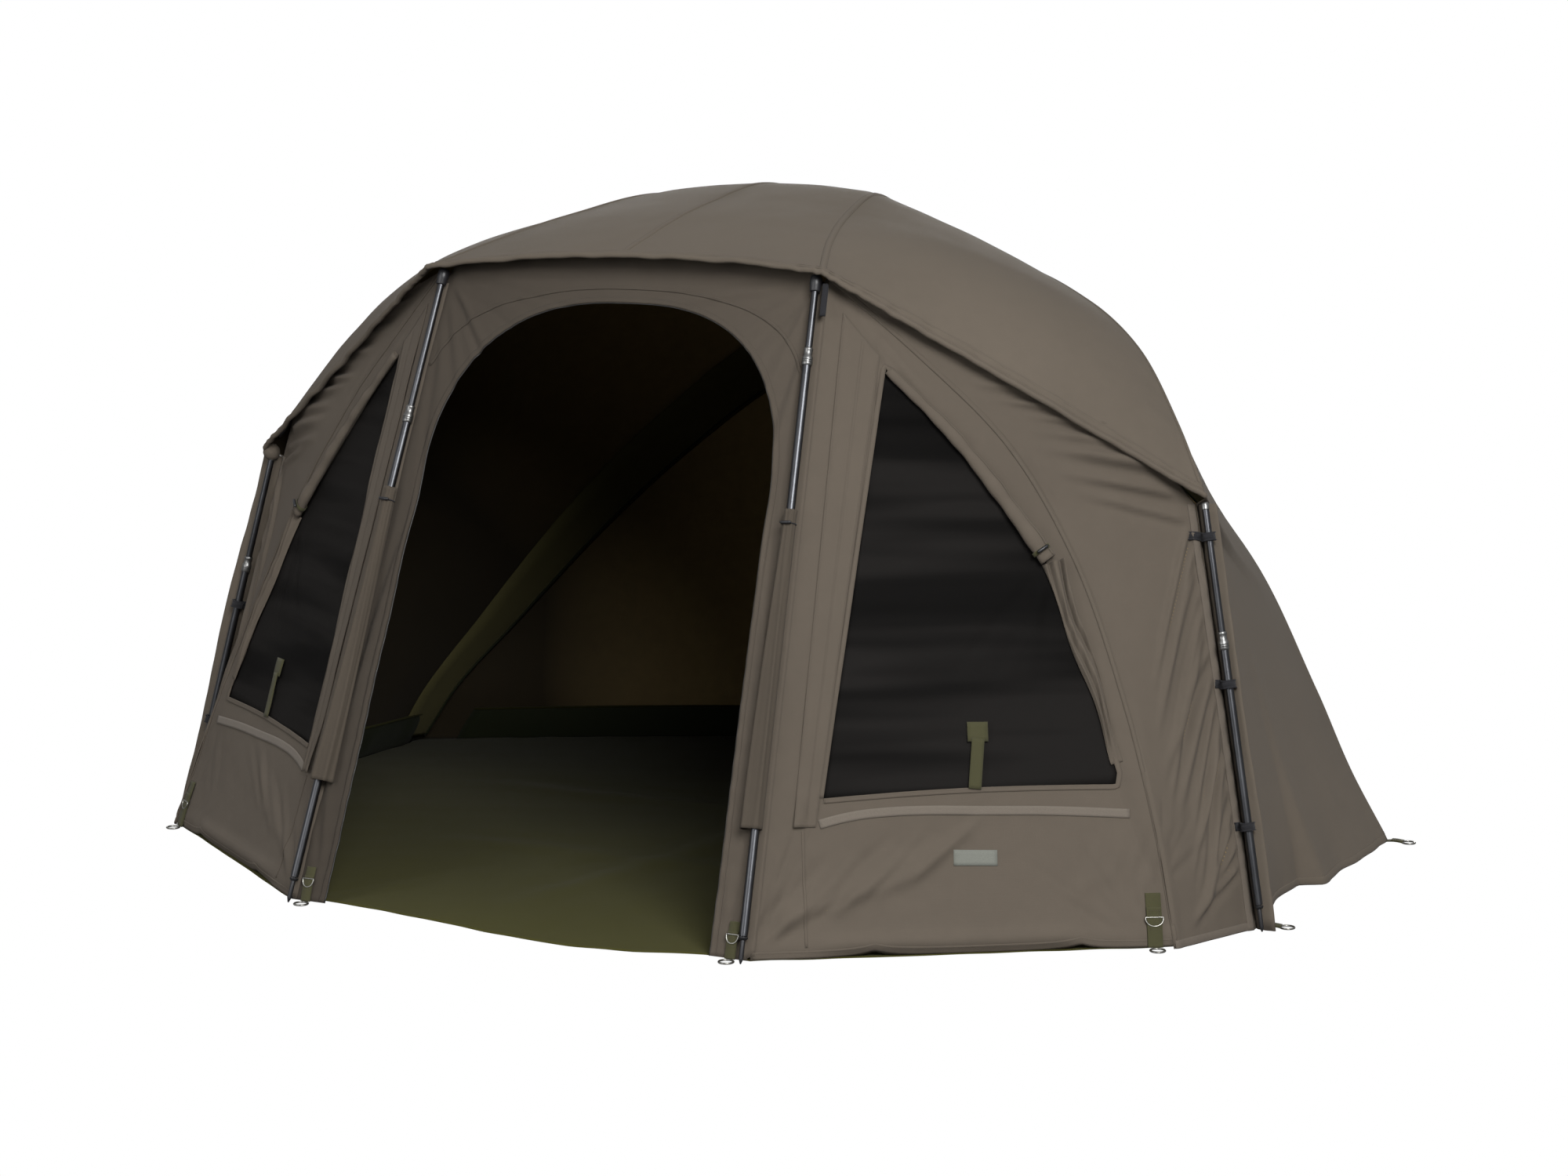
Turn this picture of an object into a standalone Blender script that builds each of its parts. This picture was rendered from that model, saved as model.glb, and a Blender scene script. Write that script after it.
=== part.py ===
"""A fishing umbrella set up as a shelter: a tilted umbrella on four storm poles, with its front infill.

Units are metres and +Z is up. The shelter looks towards -Y and is symmetric about X = 0.
Points are written from the line between the two side pole feet, and at() moves them to the part's
frame, whose origin is on the ground in the middle of the footprint.
"""

import math

import bmesh
import bpy
from mathutils import Matrix, Vector

# Overall frame
FOOTPRINT_MIDDLE = 0.4475  # how far the middle of the footprint lies behind the side pole feet
GAP = 0.0004  # between pieces that touch
CLOTH = 0.003  # thickness of every fabric panel
SIDES = {"right": 1, "left": -1}

# Hub of the umbrella, low at the back, with its axis leaning backwards
HUB = (0.0, 1.20, 1.12)
HUB_AXIS = (0.0, 0.53, 0.85)
HUB_RING = 0.036
HUB_CROWN_RADIUS = 0.0343
HUB_SLEEVE_RADIUS = 0.016
HUB_HEIGHT = 0.060
CAP_RADIUS = 0.048
STEM_RADIUS = 0.012

# Ribs of the right half, from the hub outwards, as the inner face of the canopy
FRONT_RIB = (
    (0.100, 0.930, 1.290),
    (0.175, 0.680, 1.375),
    (0.225, 0.470, 1.402),
    (0.290, 0.130, 1.355),
    (0.375, -0.060, 1.308),
    (0.458, -0.228, 1.262),
)
SIDE_RIB = (
    (0.200, 1.020, 1.205),
    (0.454, 0.752, 1.249),
    (0.757, 0.433, 1.186),
    (0.925, 0.282, 1.096),
    (1.048, 0.171, 0.959),
    (1.134, 0.094, 0.829),
)
REAR_RIB = (
    (0.220, 1.240, 1.040),
    (0.450, 1.250, 0.925),
    (0.650, 1.225, 0.775),
    (0.869, 1.175, 0.573),
    (1.078, 1.024, 0.299),
    (1.192, 0.925, 0.142),
    (1.285, 0.902, 0.0),
)
REAR_SPINE = ((0.0, 1.300, 0.990), (0.0, 1.390, 0.700), (0.0, 1.465, 0.350), (0.0, 1.510, 0.0))
RIB_RADIUS = 0.004
RIB_DROP = {"front": 0.0047, "side": 0.0052, "rear": 0.0060}  # rib centre below the canopy's inner face
RIB_START_SHORT = {"front": -0.0012, "side": -0.0010, "rear": 0.0010}  # and starts this far along it
RIB_END_SHORT = {"front": 0.022, "side": 0.020, "rear": 0.012}  # the rib stops this far before its seam
# How far the middle of each canopy panel stands out from the straight line between its seams
CROWN_SWELL = 0.027
FRONT_SIDE_SWELL = 0.064
FRONT_SIDE_SWELL_POWER = 3.9  # a higher power moves the swell out towards the canopy's edge
SIDE_SWELL = -0.012
REAR_ROUNDNESS = 1.5

# Storm poles of the right half, foot to top, and their collars
FRONT_POLE = ((0.517, -0.676, 0.0), (0.43402, -0.20138, 1.2589))
SIDE_POLE = ((1.300, 0.0, 0.0), (1.1263, 0.1117, 0.8185))
COLLAR_HEIGHT = {
    "front_right": 1.120,
    "front_left": 0.980,
    "side_right": 0.570,
    "side_left": 0.580,
}
LOWER_RADIUS = 0.0095
LOWER_BORE = 0.0084
UPPER_RADIUS = 0.0080
UPPER_BORE = 0.0066
COLLAR_RADIUS = 0.0135
COLLAR_LENGTH = 0.042
HEAD_RADIUS = 0.0120
HEAD_LENGTH = 0.034
TUBE_OVERLAP = 0.30
FOOT_LENGTH = 0.050
FOOT_RADIUS = 0.0045
ROUND_STEPS = 20

# Front infill, all measured on the right half
DOOR_SETBACK = 0.0170  # the door wall's middle lies this far behind the pole's axis
DOOR_HALF_WIDTH = 0.442  # at the ground
DOOR_SHOULDER_HALF_WIDTH = 0.405
DOOR_SHOULDER_HEIGHT = 0.800
DOOR_HEIGHT = 1.203
DOOR_ARCH_POWER = 2.6
WALL_FOOT = 0.0105  # the height at which the door wall ends above the ground, on the poles' plane
DOOR_WALL_CORNERS = ((0.5205, WALL_FOOT), (0.4370, 1.252), (0.4270, 1.259))  # X and height
WINDOW_WALL_FOOT = 0.0046
CORNER_LINE = ((0.5265, -0.655, 0.0), (0.4445, -0.1825, 1.260))
ARC_SEAM = (
    (0.4530, -0.1790, 1.2570),
    (0.632, -0.122, 1.098),
    (0.796, -0.076, 0.929),
    (0.934, -0.068, 0.713),
    (1.055, -0.100, 0.442),
    (1.138, -0.142, 0.212),
    (1.198, -0.186, 0.0),
)
WINDOW = (
    (0.570, -0.172, 1.080),
    (0.722, -0.134, 0.920),
    (0.880, -0.106, 0.716),
    (0.960, -0.118, 0.540),
    (1.052, -0.150, 0.318),
    (1.050, -0.155, 0.296),
    (0.600, -0.496, 0.291),
)
FACING = (
    (0.485, -0.188, 1.186),
    (0.558, -0.173, 1.103),
    (0.596, -0.522, 0.240),
    (0.561, -0.545, 0.240),
)
FACING_THICKNESS = 0.002
SIDE_SEAM = ((1.102, 0.126, 0.812), (1.276, 0.016, 0.0))  # behind the side pole
SEAM_GAP = 0.0007  # between the window wall and the side panel
CANOPY_LIP = 0.015  # the side panel's top runs this far inside the canopy's edge

# Wrap of each front pole, wider towards its open lower end, and the rolled window flap
WRAP_HEIGHTS = (0.238, 0.816)
WRAP_HALF_WIDTHS = (0.0215, 0.0122)
WRAP_HALF_DEPTHS = (0.0139, 0.0101)
WRAP_THICKNESS = 0.0012
FLAP_ROLL = ((0.575, -0.172, 1.074), (0.722, -0.133, 0.923), (0.886, -0.107, 0.713))
FLAP_ROLL_RADIUS = 0.010

# Webbing clips that hold each side pole to the side panel
CLIP_HEIGHTS = (0.200, 0.470)
CLIP_BORE = 0.0102
CLIP_RADIUS = 0.0122
CLIP_WIDTH = 0.018

# Ground
GROUNDSHEET_THICKNESS = 0.003
GROUNDSHEET_INSET = 0.0026
RING_RADIUS = 0.014
RING_WIRE = 0.0025
STRAP_WIDTH = 0.022
STRAP_THICKNESS = 0.0025
FRONT_STRAP_X = 0.486
FRONT_STRAP_HEIGHTS = (0.075, 0.009)
MIDDLE_STRAP = ((1.146, -0.191, 0.104), (1.160, -0.213, 0.003))
GROUND_STRAPS = {
    "side": ((1.2808, 0.050), (1.0, 0.10), 0.040),
    "corner": ((1.2882, 0.895), (1.0, 0.05), 0.036),
}  # where each starts, which way it runs, and its length
REAR_STRAP_LENGTH = 0.045


def at(x, y, z):
    """A point of the side pole line's frame in the part's frame."""
    return Vector((x, y - FOOTPRINT_MIDDLE, z))


INSIDE = at(0.0, 0.45, 0.45)


def mirrored(points, side):
    """The right half's points, on the side given by its sign."""
    return [Vector((side * p.x, p.y, p.z)) for p in points]


def placed(points):
    return [at(*p) for p in points]


def smooth_curve(points, count):
    """Evenly spaced points on a smooth curve through the given ones."""
    fine = []
    ends = [2 * points[0] - points[1], *points, 2 * points[-1] - points[-2]]
    for before, start, end, after in zip(ends, ends[1:], ends[2:], ends[3:]):
        chord = (end - start).length
        lean_in = (end - before) / ((end - start).length + (start - before).length) * chord
        lean_out = (after - start) / ((after - end).length + (end - start).length) * chord
        for step in range(24):
            t = step / 24
            fine.append(
                start * (2 * t**3 - 3 * t**2 + 1)
                + lean_in * (t**3 - 2 * t**2 + t)
                + end * (3 * t**2 - 2 * t**3)
                + lean_out * (t**3 - t**2)
            )
    fine.append(points[-1].copy())
    return resampled(fine, count)


def resampled(points, count):
    """The same line with this many points, evenly spaced."""
    lengths = [0.0]
    for start, end in zip(points, points[1:]):
        lengths.append(lengths[-1] + (end - start).length)
    result = []
    index = 0
    for step in range(count):
        target = lengths[-1] * step / (count - 1)
        while index < len(points) - 2 and lengths[index + 1] < target:
            index += 1
        span = lengths[index + 1] - lengths[index]
        share = (target - lengths[index]) / span if span else 0.0
        result.append(points[index].lerp(points[index + 1], min(max(share, 0.0), 1.0)))
    return result


def clear_scene():
    for obj in list(bpy.data.objects):
        bpy.data.objects.remove(obj)


def new_collection(name):
    collection = bpy.data.collections.new(name)
    bpy.context.scene.collection.children.link(collection)
    return collection


def new_material(name, colour, roughness, metallic=0.0):
    material = bpy.data.materials.new(name)
    material.use_nodes = True
    shader = material.node_tree.nodes["Principled BSDF"]
    shader.inputs["Base Color"].default_value = (*colour, 1.0)
    shader.inputs["Roughness"].default_value = roughness
    shader.inputs["Metallic"].default_value = metallic
    return material


def add_object(name, data, material, collection=None):
    obj = bpy.data.objects.new(name, data)
    (collection or PARTS).objects.link(obj)
    data.materials.append(material)
    return obj


def add_mesh(name, bm, material, collection=None):
    mesh = bpy.data.meshes.new(name)
    bm.to_mesh(mesh)
    bm.free()
    return add_object(name, mesh, material, collection)


def faced_out(edge):
    """At each point of a seam, the direction away from the inside and square to the seam."""
    result = []
    for index, point in enumerate(edge):
        along = edge[min(index + 1, len(edge) - 1)] - edge[max(index - 1, 0)]
        along.normalize()
        away = point - INSIDE
        away -= along * away.dot(along)
        if point.z < GAP:
            away.z = 0.0
        result.append(away.normalized())
    return result


def skin(first, last, columns, belly=None, roundness=2.0):
    """Rows of points of a panel's inner face, between two seams and short of each by half a gap.

    belly gives, for each row's share of the length, the vector by which the row's middle stands out.
    """
    rows = []
    for index, (start, end) in enumerate(zip(first, last)):
        inset = GAP / (end - start).length
        swell = belly(index / (len(first) - 1)) if belly else Vector()
        row = []
        for step in range(columns + 1):
            u = inset + (1 - 2 * inset) * step / columns
            row.append(start.lerp(end, u) + swell * (1 - abs(2 * u - 1) ** roundness))
        rows.append(row)
    return rows


def square_to(rows, index, step):
    """The direction square to a grid at one of its points, away from the inside."""
    row = rows[index]
    above, below = rows[max(index - 1, 0)], rows[min(index + 1, len(rows) - 1)]
    across = row[min(step + 1, len(row) - 1)] - row[max(step - 1, 0)]
    normal = across.cross(below[step] - above[step]).normalized()
    return normal if normal.dot(row[step] - INSIDE) > 0 else -normal


def cloth(name, first, last, rows, material, thickness=CLOTH):
    """A fabric panel on the rows of its inner face, thickened outwards.

    Both panels of a seam are thickened along that seam's own direction, so their edges stay parallel,
    and the cloth between the seams is thickened square to itself.
    """
    bm = bmesh.new()
    inner, outer = [], []
    for index, (row, start_out, end_out) in enumerate(zip(rows, faced_out(first), faced_out(last))):
        inner.append([bm.verts.new(point) for point in row])
        outer.append([])
        for step, point in enumerate(row):
            u = step / (len(row) - 1)
            out = start_out.lerp(end_out, u).normalized()
            out = out.lerp(square_to(rows, index, step), min(1.0, 4 * u * (1 - u) * NORMAL_SHARE))
            if point.z < GAP:
                out.z = 0.0
            outer[-1].append(bm.verts.new(point + out.normalized() * thickness))
    for face, turn in ((outer, -1), (inner, 1)):
        for upper, lower in zip(face, face[1:]):
            for corners in zip(upper, upper[1:], lower[1:], lower):
                bm.faces.new(corners[::turn])
    rim_in, rim_out = rim(inner), rim(outer)
    for a, b, c, d in zip(rim_in, rim_out, rim_out[1:] + rim_out[:1], rim_in[1:] + rim_in[:1]):
        bm.faces.new((a, b, c, d))
    bmesh.ops.recalc_face_normals(bm, faces=bm.faces)
    if bm.calc_volume(signed=True) < 0:
        bmesh.ops.reverse_faces(bm, faces=bm.faces)
    return add_mesh(name, bm, material)


def rim(grid):
    """The outermost points of a grid, in order round it."""
    right = [row[-1] for row in grid[1:-1]]
    left = [row[0] for row in grid[-2:0:-1]]
    return grid[0] + right + grid[-1][::-1] + left


def outward_of(first, last):
    """The mean direction in which a panel between two edges faces away from the inside."""
    middle = (sum(first, Vector()) + sum(last, Vector())) / (len(first) + len(last))
    across = last[len(last) // 2] - first[len(first) // 2]
    along = (first[-1] + last[-1]) - (first[0] + last[0])
    normal = across.cross(along).normalized()
    return normal if normal.dot(middle - INSIDE) > 0 else -normal


def line(ends, count):
    return resampled([ends[0], ends[1]], count)


def tube(name, points, radius, material, resolution=2):
    curve = bpy.data.curves.new(name, "CURVE")
    curve.dimensions = "3D"
    curve.bevel_depth = radius
    curve.bevel_resolution = resolution
    curve.use_fill_caps = True
    spline = curve.splines.new("POLY")
    spline.points.add(len(points) - 1)
    for target, point in zip(spline.points, points):
        target.co = (*point, 1.0)
    return add_object(name, curve, material)


def turned(name, profile, start, direction, material, steps=ROUND_STEPS):
    """A profile of (radius, height) pairs, down its outer side, turned about an axis from start."""
    bm = bmesh.new()
    verts = [bm.verts.new((radius, 0.0, height)) for radius, height in profile]
    closed = profile[0][0] > 0 and profile[-1][0] > 0
    for a, b in zip(verts, verts[1:] + verts[:1] if closed else verts[1:]):
        bm.edges.new((a, b))
    obj = add_mesh(name, bm, material)
    obj.location = start
    obj.rotation_mode = "QUATERNION"
    obj.rotation_quaternion = direction.to_track_quat("Z", "Y")
    screw = obj.modifiers.new("turn", "SCREW")
    screw.steps = steps
    screw.render_steps = steps
    screw.use_merge_vertices = True
    screw.merge_threshold = 0.00001
    screw.use_smooth_shade = True
    return obj


def plane_of(origin, along, up):
    """The matrix of a plane whose X runs along and whose Y rises, with Z out of its face."""
    x_axis = (along - origin).normalized()
    normal = x_axis.cross(up - origin).normalized()
    y_axis = normal.cross(x_axis)
    matrix = Matrix((x_axis, y_axis, normal)).transposed().to_4x4()
    matrix.translation = origin
    return matrix


def flat_panel(name, matrix, loops, material, thickness=CLOTH, lift=0.0, collection=None):
    """A flat outline, and any holes in it, given as loops of points near the plane of matrix."""
    curve = bpy.data.curves.new(name, "CURVE")
    curve.dimensions = "2D"
    curve.fill_mode = "BOTH"
    curve.extrude = thickness / 2
    inverse = matrix.inverted()
    for loop in loops:
        spline = curve.splines.new("POLY")
        spline.points.add(len(loop) - 1)
        for target, point in zip(spline.points, loop):
            local = inverse @ point
            target.co = (local.x, local.y, 0.0, 1.0)
        spline.use_cyclic_u = True
    obj = add_object(name, curve, material, collection)
    obj.matrix_world = matrix @ Matrix.Translation((0.0, 0.0, lift))
    return obj


def rib_line(name, side):
    """A rib of the canopy from the hub's ring out to its end."""
    outer = placed({"front": FRONT_RIB, "side": SIDE_RIB, "rear": REAR_RIB}[name])
    axis = Vector(HUB_AXIS).normalized()
    hub = at(*HUB)
    away = outer[0] - hub
    away -= axis * away.dot(axis)
    first = hub + away.normalized() * HUB_RING
    return mirrored([first, *outer], side)


NORMAL_SHARE = 2.0  # how soon away from a seam the cloth's thickness stands square to it
FRONT_ROWS = 17
WALL_ROWS = 9
PANEL_COLUMNS = 8


def rib_seam(name, side):
    return smooth_curve(rib_line(name, side), FRONT_ROWS)


def side_edge(side):
    """The side rib and then the seam behind the side pole, down to the ground."""
    return rib_seam("side", side) + line(mirrored(placed(SIDE_SEAM), side), WALL_ROWS)


def rear_edge(side):
    return smooth_curve(rib_line("rear", side), FRONT_ROWS + WALL_ROWS)


def rear_spine():
    """The middle line of the rear panel, from the hub's ring down to the ground."""
    axis = Vector(HUB_AXIS).normalized()
    back = Vector((0.0, axis.z, -axis.y))
    first = at(*HUB) + back * HUB_RING
    return smooth_curve([first, *placed(REAR_SPINE)], FRONT_ROWS + WALL_ROWS)


def front_skin():
    """The crown panel's inner face, from the left front rib to the right one."""

    def belly(share):
        return Vector((0.0, 0.0, CROWN_SWELL * share**0.5))

    return skin(rib_seam("front", -1), rib_seam("front", 1), PANEL_COLUMNS, belly)


def front_side_skin(side):
    """The inner face of the panel between a front rib and a side rib."""
    front, rib = rib_seam("front", side), rib_seam("side", side)
    out = outward_of(front, rib)

    def belly(share):
        return out * (FRONT_SIDE_SWELL * math.sin(math.pi * share**FRONT_SIDE_SWELL_POWER))

    return skin(front, rib, PANEL_COLUMNS, belly)


def side_skin(side):
    """The inner face of the panel between a rear rib, and a side rib and pole."""
    front, rear = side_edge(side), rear_edge(side)
    out = outward_of(front, rear)

    def belly(share):
        return out * (SIDE_SWELL * math.sin(math.pi * share))

    return skin(rear, front, PANEL_COLUMNS, belly)


def rear_skin():
    """The inner face of the rear wall, out to its middle line."""
    left, right, spine = rear_edge(-1), rear_edge(1), rear_spine()

    def belly(share):
        row = round(share * (len(right) - 1))
        return spine[row] - (left[row] + right[row]) / 2

    return skin(left, right, 2 * PANEL_COLUMNS, belly, REAR_ROUNDNESS)


def build_canopy():
    cloth("canopy_front", rib_seam("front", -1), rib_seam("front", 1), front_skin(), CANOPY)
    for word, side in SIDES.items():
        front, rib = rib_seam("front", side), rib_seam("side", side)
        cloth(f"canopy_front_side_{word}", front, rib, front_side_skin(side), CANOPY)
        cloth(f"canopy_side_{word}", rear_edge(side), side_edge(side), side_skin(side), CANOPY)
    cloth("canopy_rear", rear_edge(-1), rear_edge(1), rear_skin(), CANOPY)


def build_ribs():
    """The ribs run along the same points as the canopy's seams, just under its inner face."""
    for name in ("front", "side", "rear"):
        for word, side in SIDES.items():
            seam = rear_edge(side) if name == "rear" else rib_seam(name, side)
            lowered = [point - out * RIB_DROP[name] for point, out in zip(seam, faced_out(seam))]
            end = lowered[-1] + (lowered[-2] - lowered[-1]).normalized() * RIB_END_SHORT[name]
            start = lowered[0] + (lowered[1] - lowered[0]).normalized() * RIB_START_SHORT[name]
            tube(f"rib_{name}_{word}", [start, *lowered[1:-1], end], RIB_RADIUS, RIB_STEEL)


def build_hub():
    axis = Vector(HUB_AXIS).normalized()
    hub = at(*HUB)
    crown_top = -0.001
    body = [
        (0.0, crown_top),
        (HUB_CROWN_RADIUS, crown_top),
        (HUB_CROWN_RADIUS, -0.014),
        (HUB_SLEEVE_RADIUS + 0.002, -0.020),
        (HUB_SLEEVE_RADIUS, -HUB_HEIGHT),
        (0.0, -HUB_HEIGHT),
    ]
    turned("hub", body, hub, axis, BLACK)
    seat = CLOTH + 0.002
    cap = [
        (0.0, seat + 0.016),
        (CAP_RADIUS * 0.6, seat + 0.012),
        (CAP_RADIUS, seat + 0.003),
        (CAP_RADIUS, seat),
        (STEM_RADIUS, seat),
        (STEM_RADIUS, crown_top + GAP),
        (0.0, crown_top + GAP),
    ]
    turned("hub_cap", cap, hub, axis, BLACK)


def build_pole(place, word, side, ends, collar_height):
    foot, top = mirrored(placed(ends), side)
    axis = (top - foot).normalized()
    length = (top - foot).length
    collar = collar_height / axis.z
    lower = [
        (0.0, FOOT_LENGTH + 0.010),
        (LOWER_BORE, FOOT_LENGTH + 0.010),
        (LOWER_BORE, collar),
        (COLLAR_RADIUS - 0.0015, collar),
        (COLLAR_RADIUS, collar - 0.003),
        (COLLAR_RADIUS, collar - COLLAR_LENGTH),
        (LOWER_RADIUS, collar - COLLAR_LENGTH - 0.003),
        (LOWER_RADIUS, FOOT_LENGTH),
        (FOOT_RADIUS, FOOT_LENGTH - 0.006),
        (FOOT_RADIUS, 0.006),
        (0.0, 0.003),
    ]
    turned(f"pole_{place}_{word}_lower", lower, foot, axis, POLE_METAL)
    start = max(collar - TUBE_OVERLAP, FOOT_LENGTH + 0.030)
    upper = [
        (0.0, length),
        (HEAD_RADIUS * 0.75, length),
        (HEAD_RADIUS, length - 0.003),
        (HEAD_RADIUS, length - HEAD_LENGTH),
        (UPPER_RADIUS, length - HEAD_LENGTH - 0.001),
        (UPPER_RADIUS, start),
        (UPPER_BORE, start),
        (UPPER_BORE, length - HEAD_LENGTH),
        (0.0, length - HEAD_LENGTH),
    ]
    turned(f"pole_{place}_{word}_upper", upper, foot, axis, POLE_METAL)


def build_poles():
    for word, side in SIDES.items():
        build_pole("front", word, side, FRONT_POLE, COLLAR_HEIGHT[f"front_{word}"])
        build_pole("side", word, side, SIDE_POLE, COLLAR_HEIGHT[f"side_{word}"])


def door_plane():
    """The plane of the door wall, behind the front poles, with Z out to the front."""
    foot, top = placed(FRONT_POLE)
    matrix = plane_of(Vector((0.0, foot.y, 0.0)), Vector((1.0, foot.y, 0.0)), Vector((0.0, top.y, top.z)))
    return matrix @ Matrix.Translation((0.0, 0.0, -DOOR_SETBACK))


def on_door(x, z):
    """A point of the door wall at this X and height."""
    foot, top = placed(FRONT_POLE)
    return Vector((x, foot.y + (top.y - foot.y) * z / top.z, z))


def door_outline():
    """The doorway's edge from its left foot over the arch to its right foot."""
    rise = DOOR_HEIGHT - DOOR_SHOULDER_HEIGHT
    right = [on_door(DOOR_HALF_WIDTH, WALL_FOOT)]
    for step in range(15):
        angle = math.pi / 2 * step / 14
        x = DOOR_SHOULDER_HALF_WIDTH * math.cos(angle) ** (2 / DOOR_ARCH_POWER)
        z = DOOR_SHOULDER_HEIGHT + rise * math.sin(angle) ** (2 / DOOR_ARCH_POWER)
        right.append(on_door(x, z))
    return mirrored(right, -1) + list(reversed(right[:-1]))


def meeting_point(rows, column, matrix):
    """Where a column of the canopy's inner face comes down through the front face of a flat wall."""
    inverse = matrix.inverted()
    for front, back in zip(rows[::-1], rows[-2::-1]):
        ahead = (inverse @ front[column]).z - CLOTH / 2
        behind = (inverse @ back[column]).z - CLOTH / 2
        if ahead >= 0 > behind:
            return front[column].lerp(back[column], ahead / (ahead - behind))
    return rows[-1][column]


def build_door_wall():
    """The wall round the doorway, cut along its top where it meets the canopy."""
    matrix = door_plane()
    right = [on_door(*corner) for corner in DOOR_WALL_CORNERS]
    crown = front_skin()
    lowered = Vector((0.0, 0.0, -0.0006))
    top = [meeting_point(crown, column, matrix) + lowered for column in range(PANEL_COLUMNS - 1, 0, -1)]
    outer = [*right, *top, *reversed(mirrored(right, -1))]
    flat_panel("door_wall", matrix, [outer + door_outline()], PANEL)


def window_plane(side):
    """The plane of a window wall, with Z out of the shelter."""
    bottom, top = placed(CORNER_LINE)
    far = at(*ARC_SEAM[-1])
    if side > 0:
        return plane_of(bottom, far, top)
    bottom, top, far = mirrored([bottom, top, far], side)
    return plane_of(far, bottom, top)


def build_window_walls():
    for word, side in SIDES.items():
        matrix = window_plane(side)
        seam = smooth_curve(placed(ARC_SEAM), 18)
        bottom, top = placed(CORNER_LINE)
        inward = (bottom - seam[-1]).normalized() * SEAM_GAP
        outer = mirrored([bottom, top, *[p + inward for p in seam]], side)
        window = placed(WINDOW)
        arc = smooth_curve(window[:5], 15)
        hole = mirrored([*arc, *window[5:]], side)
        lifted = Vector((0.0, 0.0, WINDOW_WALL_FOOT))
        outer = [p + lifted if p.z < WINDOW_WALL_FOOT else p for p in outer]
        flat_panel(f"window_wall_{word}", matrix, [outer, hole], PANEL)
        centre = sum(hole, Vector()) / len(hole)
        pane = [centre + (p - centre) * (1 - 0.003) for p in hole]
        flat_panel(f"window_mesh_{word}", matrix, [pane], MESH, thickness=0.0015)
        lift = CLOTH / 2 + FACING_THICKNESS / 2 + GAP
        flat_panel(f"facing_{word}", matrix, [mirrored(placed(FACING), side)], PANEL, FACING_THICKNESS, lift)
        out = matrix.to_3x3() @ Vector((0.0, 0.0, CLOTH / 2 + FLAP_ROLL_RADIUS + GAP))
        roll = smooth_curve([on_plane(p, matrix) + out for p in mirrored(placed(FLAP_ROLL), side)], 12)
        tube(f"window_flap_{word}", roll, FLAP_ROLL_RADIUS, PANEL)


def side_panel_edge(side):
    """The side panel's outer edge: under the canopy's edge, then down in front of the side seam."""
    rows = front_side_skin(side)
    under = []
    for column in range(1, PANEL_COLUMNS):
        edge, back = rows[-1][column], rows[-2][column]
        along = (back - edge).normalized()
        across = (rows[-1][column + 1] - rows[-1][column - 1]).normalized()
        normal = along.cross(across).normalized()
        if normal.z < 0:
            normal = -normal
        under.append(edge + along * CANOPY_LIP - normal * (CLOTH + 2 * GAP))
    forward = Vector((0.0, -2 * GAP - CLOTH, 0.0))
    seam = [point + forward for point in mirrored(placed(SIDE_SEAM), side)]
    return under + line(seam, WALL_ROWS + 2)


def build_side_panels():
    """The stretched panels between the arc seams, the canopy's edge and the side poles, with clips."""
    for word, side in SIDES.items():
        outer = side_panel_edge(side)
        seam = smooth_curve(mirrored(placed(ARC_SEAM), side), len(outer))
        rows = skin(seam, outer, PANEL_COLUMNS)
        panel = cloth(f"side_panel_{word}", seam, outer, rows, PANEL)
        foot, top = mirrored(placed(SIDE_POLE), side)
        axis = (top - foot).normalized()
        for number, height in enumerate(CLIP_HEIGHTS):
            centre = foot + axis * (height / axis.z)
            add_clip(panel, f"clip_{word}_{number}", centre, axis, clip_anchor(outer, rows, height))


def clip_anchor(outer, rows, height):
    """A point in the middle of a side panel's cloth, close to its outer edge, at this height."""
    outs = faced_out(outer)
    index = next(k for k in range(len(outer) - 1) if outer[k].z >= height >= outer[k + 1].z)
    share = (outer[index].z - height) / (outer[index].z - outer[index + 1].z)
    edge = outer[index].lerp(outer[index + 1], share)
    inner = rows[index][-2].lerp(rows[index + 1][-2], share)
    out = outs[index].lerp(outs[index + 1], share)
    return edge.lerp(inner, 0.5) + out * (CLOTH / 2)


def add_clip(panel, name, centre, axis, anchor):
    """Joins to a panel a webbing band that goes round a pole, with an arm to the anchor point."""
    half = axis * (CLIP_WIDTH / 2)
    band = round_cutter(f"{name}_band", centre - half, centre + half, CLIP_RADIUS)
    arm = box_cutter(f"{name}_arm", centre, anchor, axis, CLIP_WIDTH, STRAP_THICKNESS)
    bore = round_cutter(f"{name}_bore", centre - 2 * half, centre + 2 * half, CLIP_BORE)
    for operand, operation in ((band, "UNION"), (arm, "UNION"), (bore, "DIFFERENCE")):
        boolean = panel.modifiers.new(operand.name, "BOOLEAN")
        boolean.operation = operation
        boolean.solver = "MANIFOLD"
        boolean.object = operand


def hidden(obj):
    obj.hide_render = True
    obj.display_type = "WIRE"
    return obj


def round_cutter(name, start, end, radius):
    bm = bmesh.new()
    size = {"radius1": radius, "radius2": radius, "depth": (end - start).length}
    bmesh.ops.create_cone(bm, cap_ends=True, segments=ROUND_STEPS, **size)
    obj = add_mesh(name, bm, WEBBING, CUTTERS)
    turn = (end - start).to_track_quat("Z", "Y").to_matrix().to_4x4()
    obj.matrix_world = Matrix.Translation((start + end) / 2) @ turn
    return hidden(obj)


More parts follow.
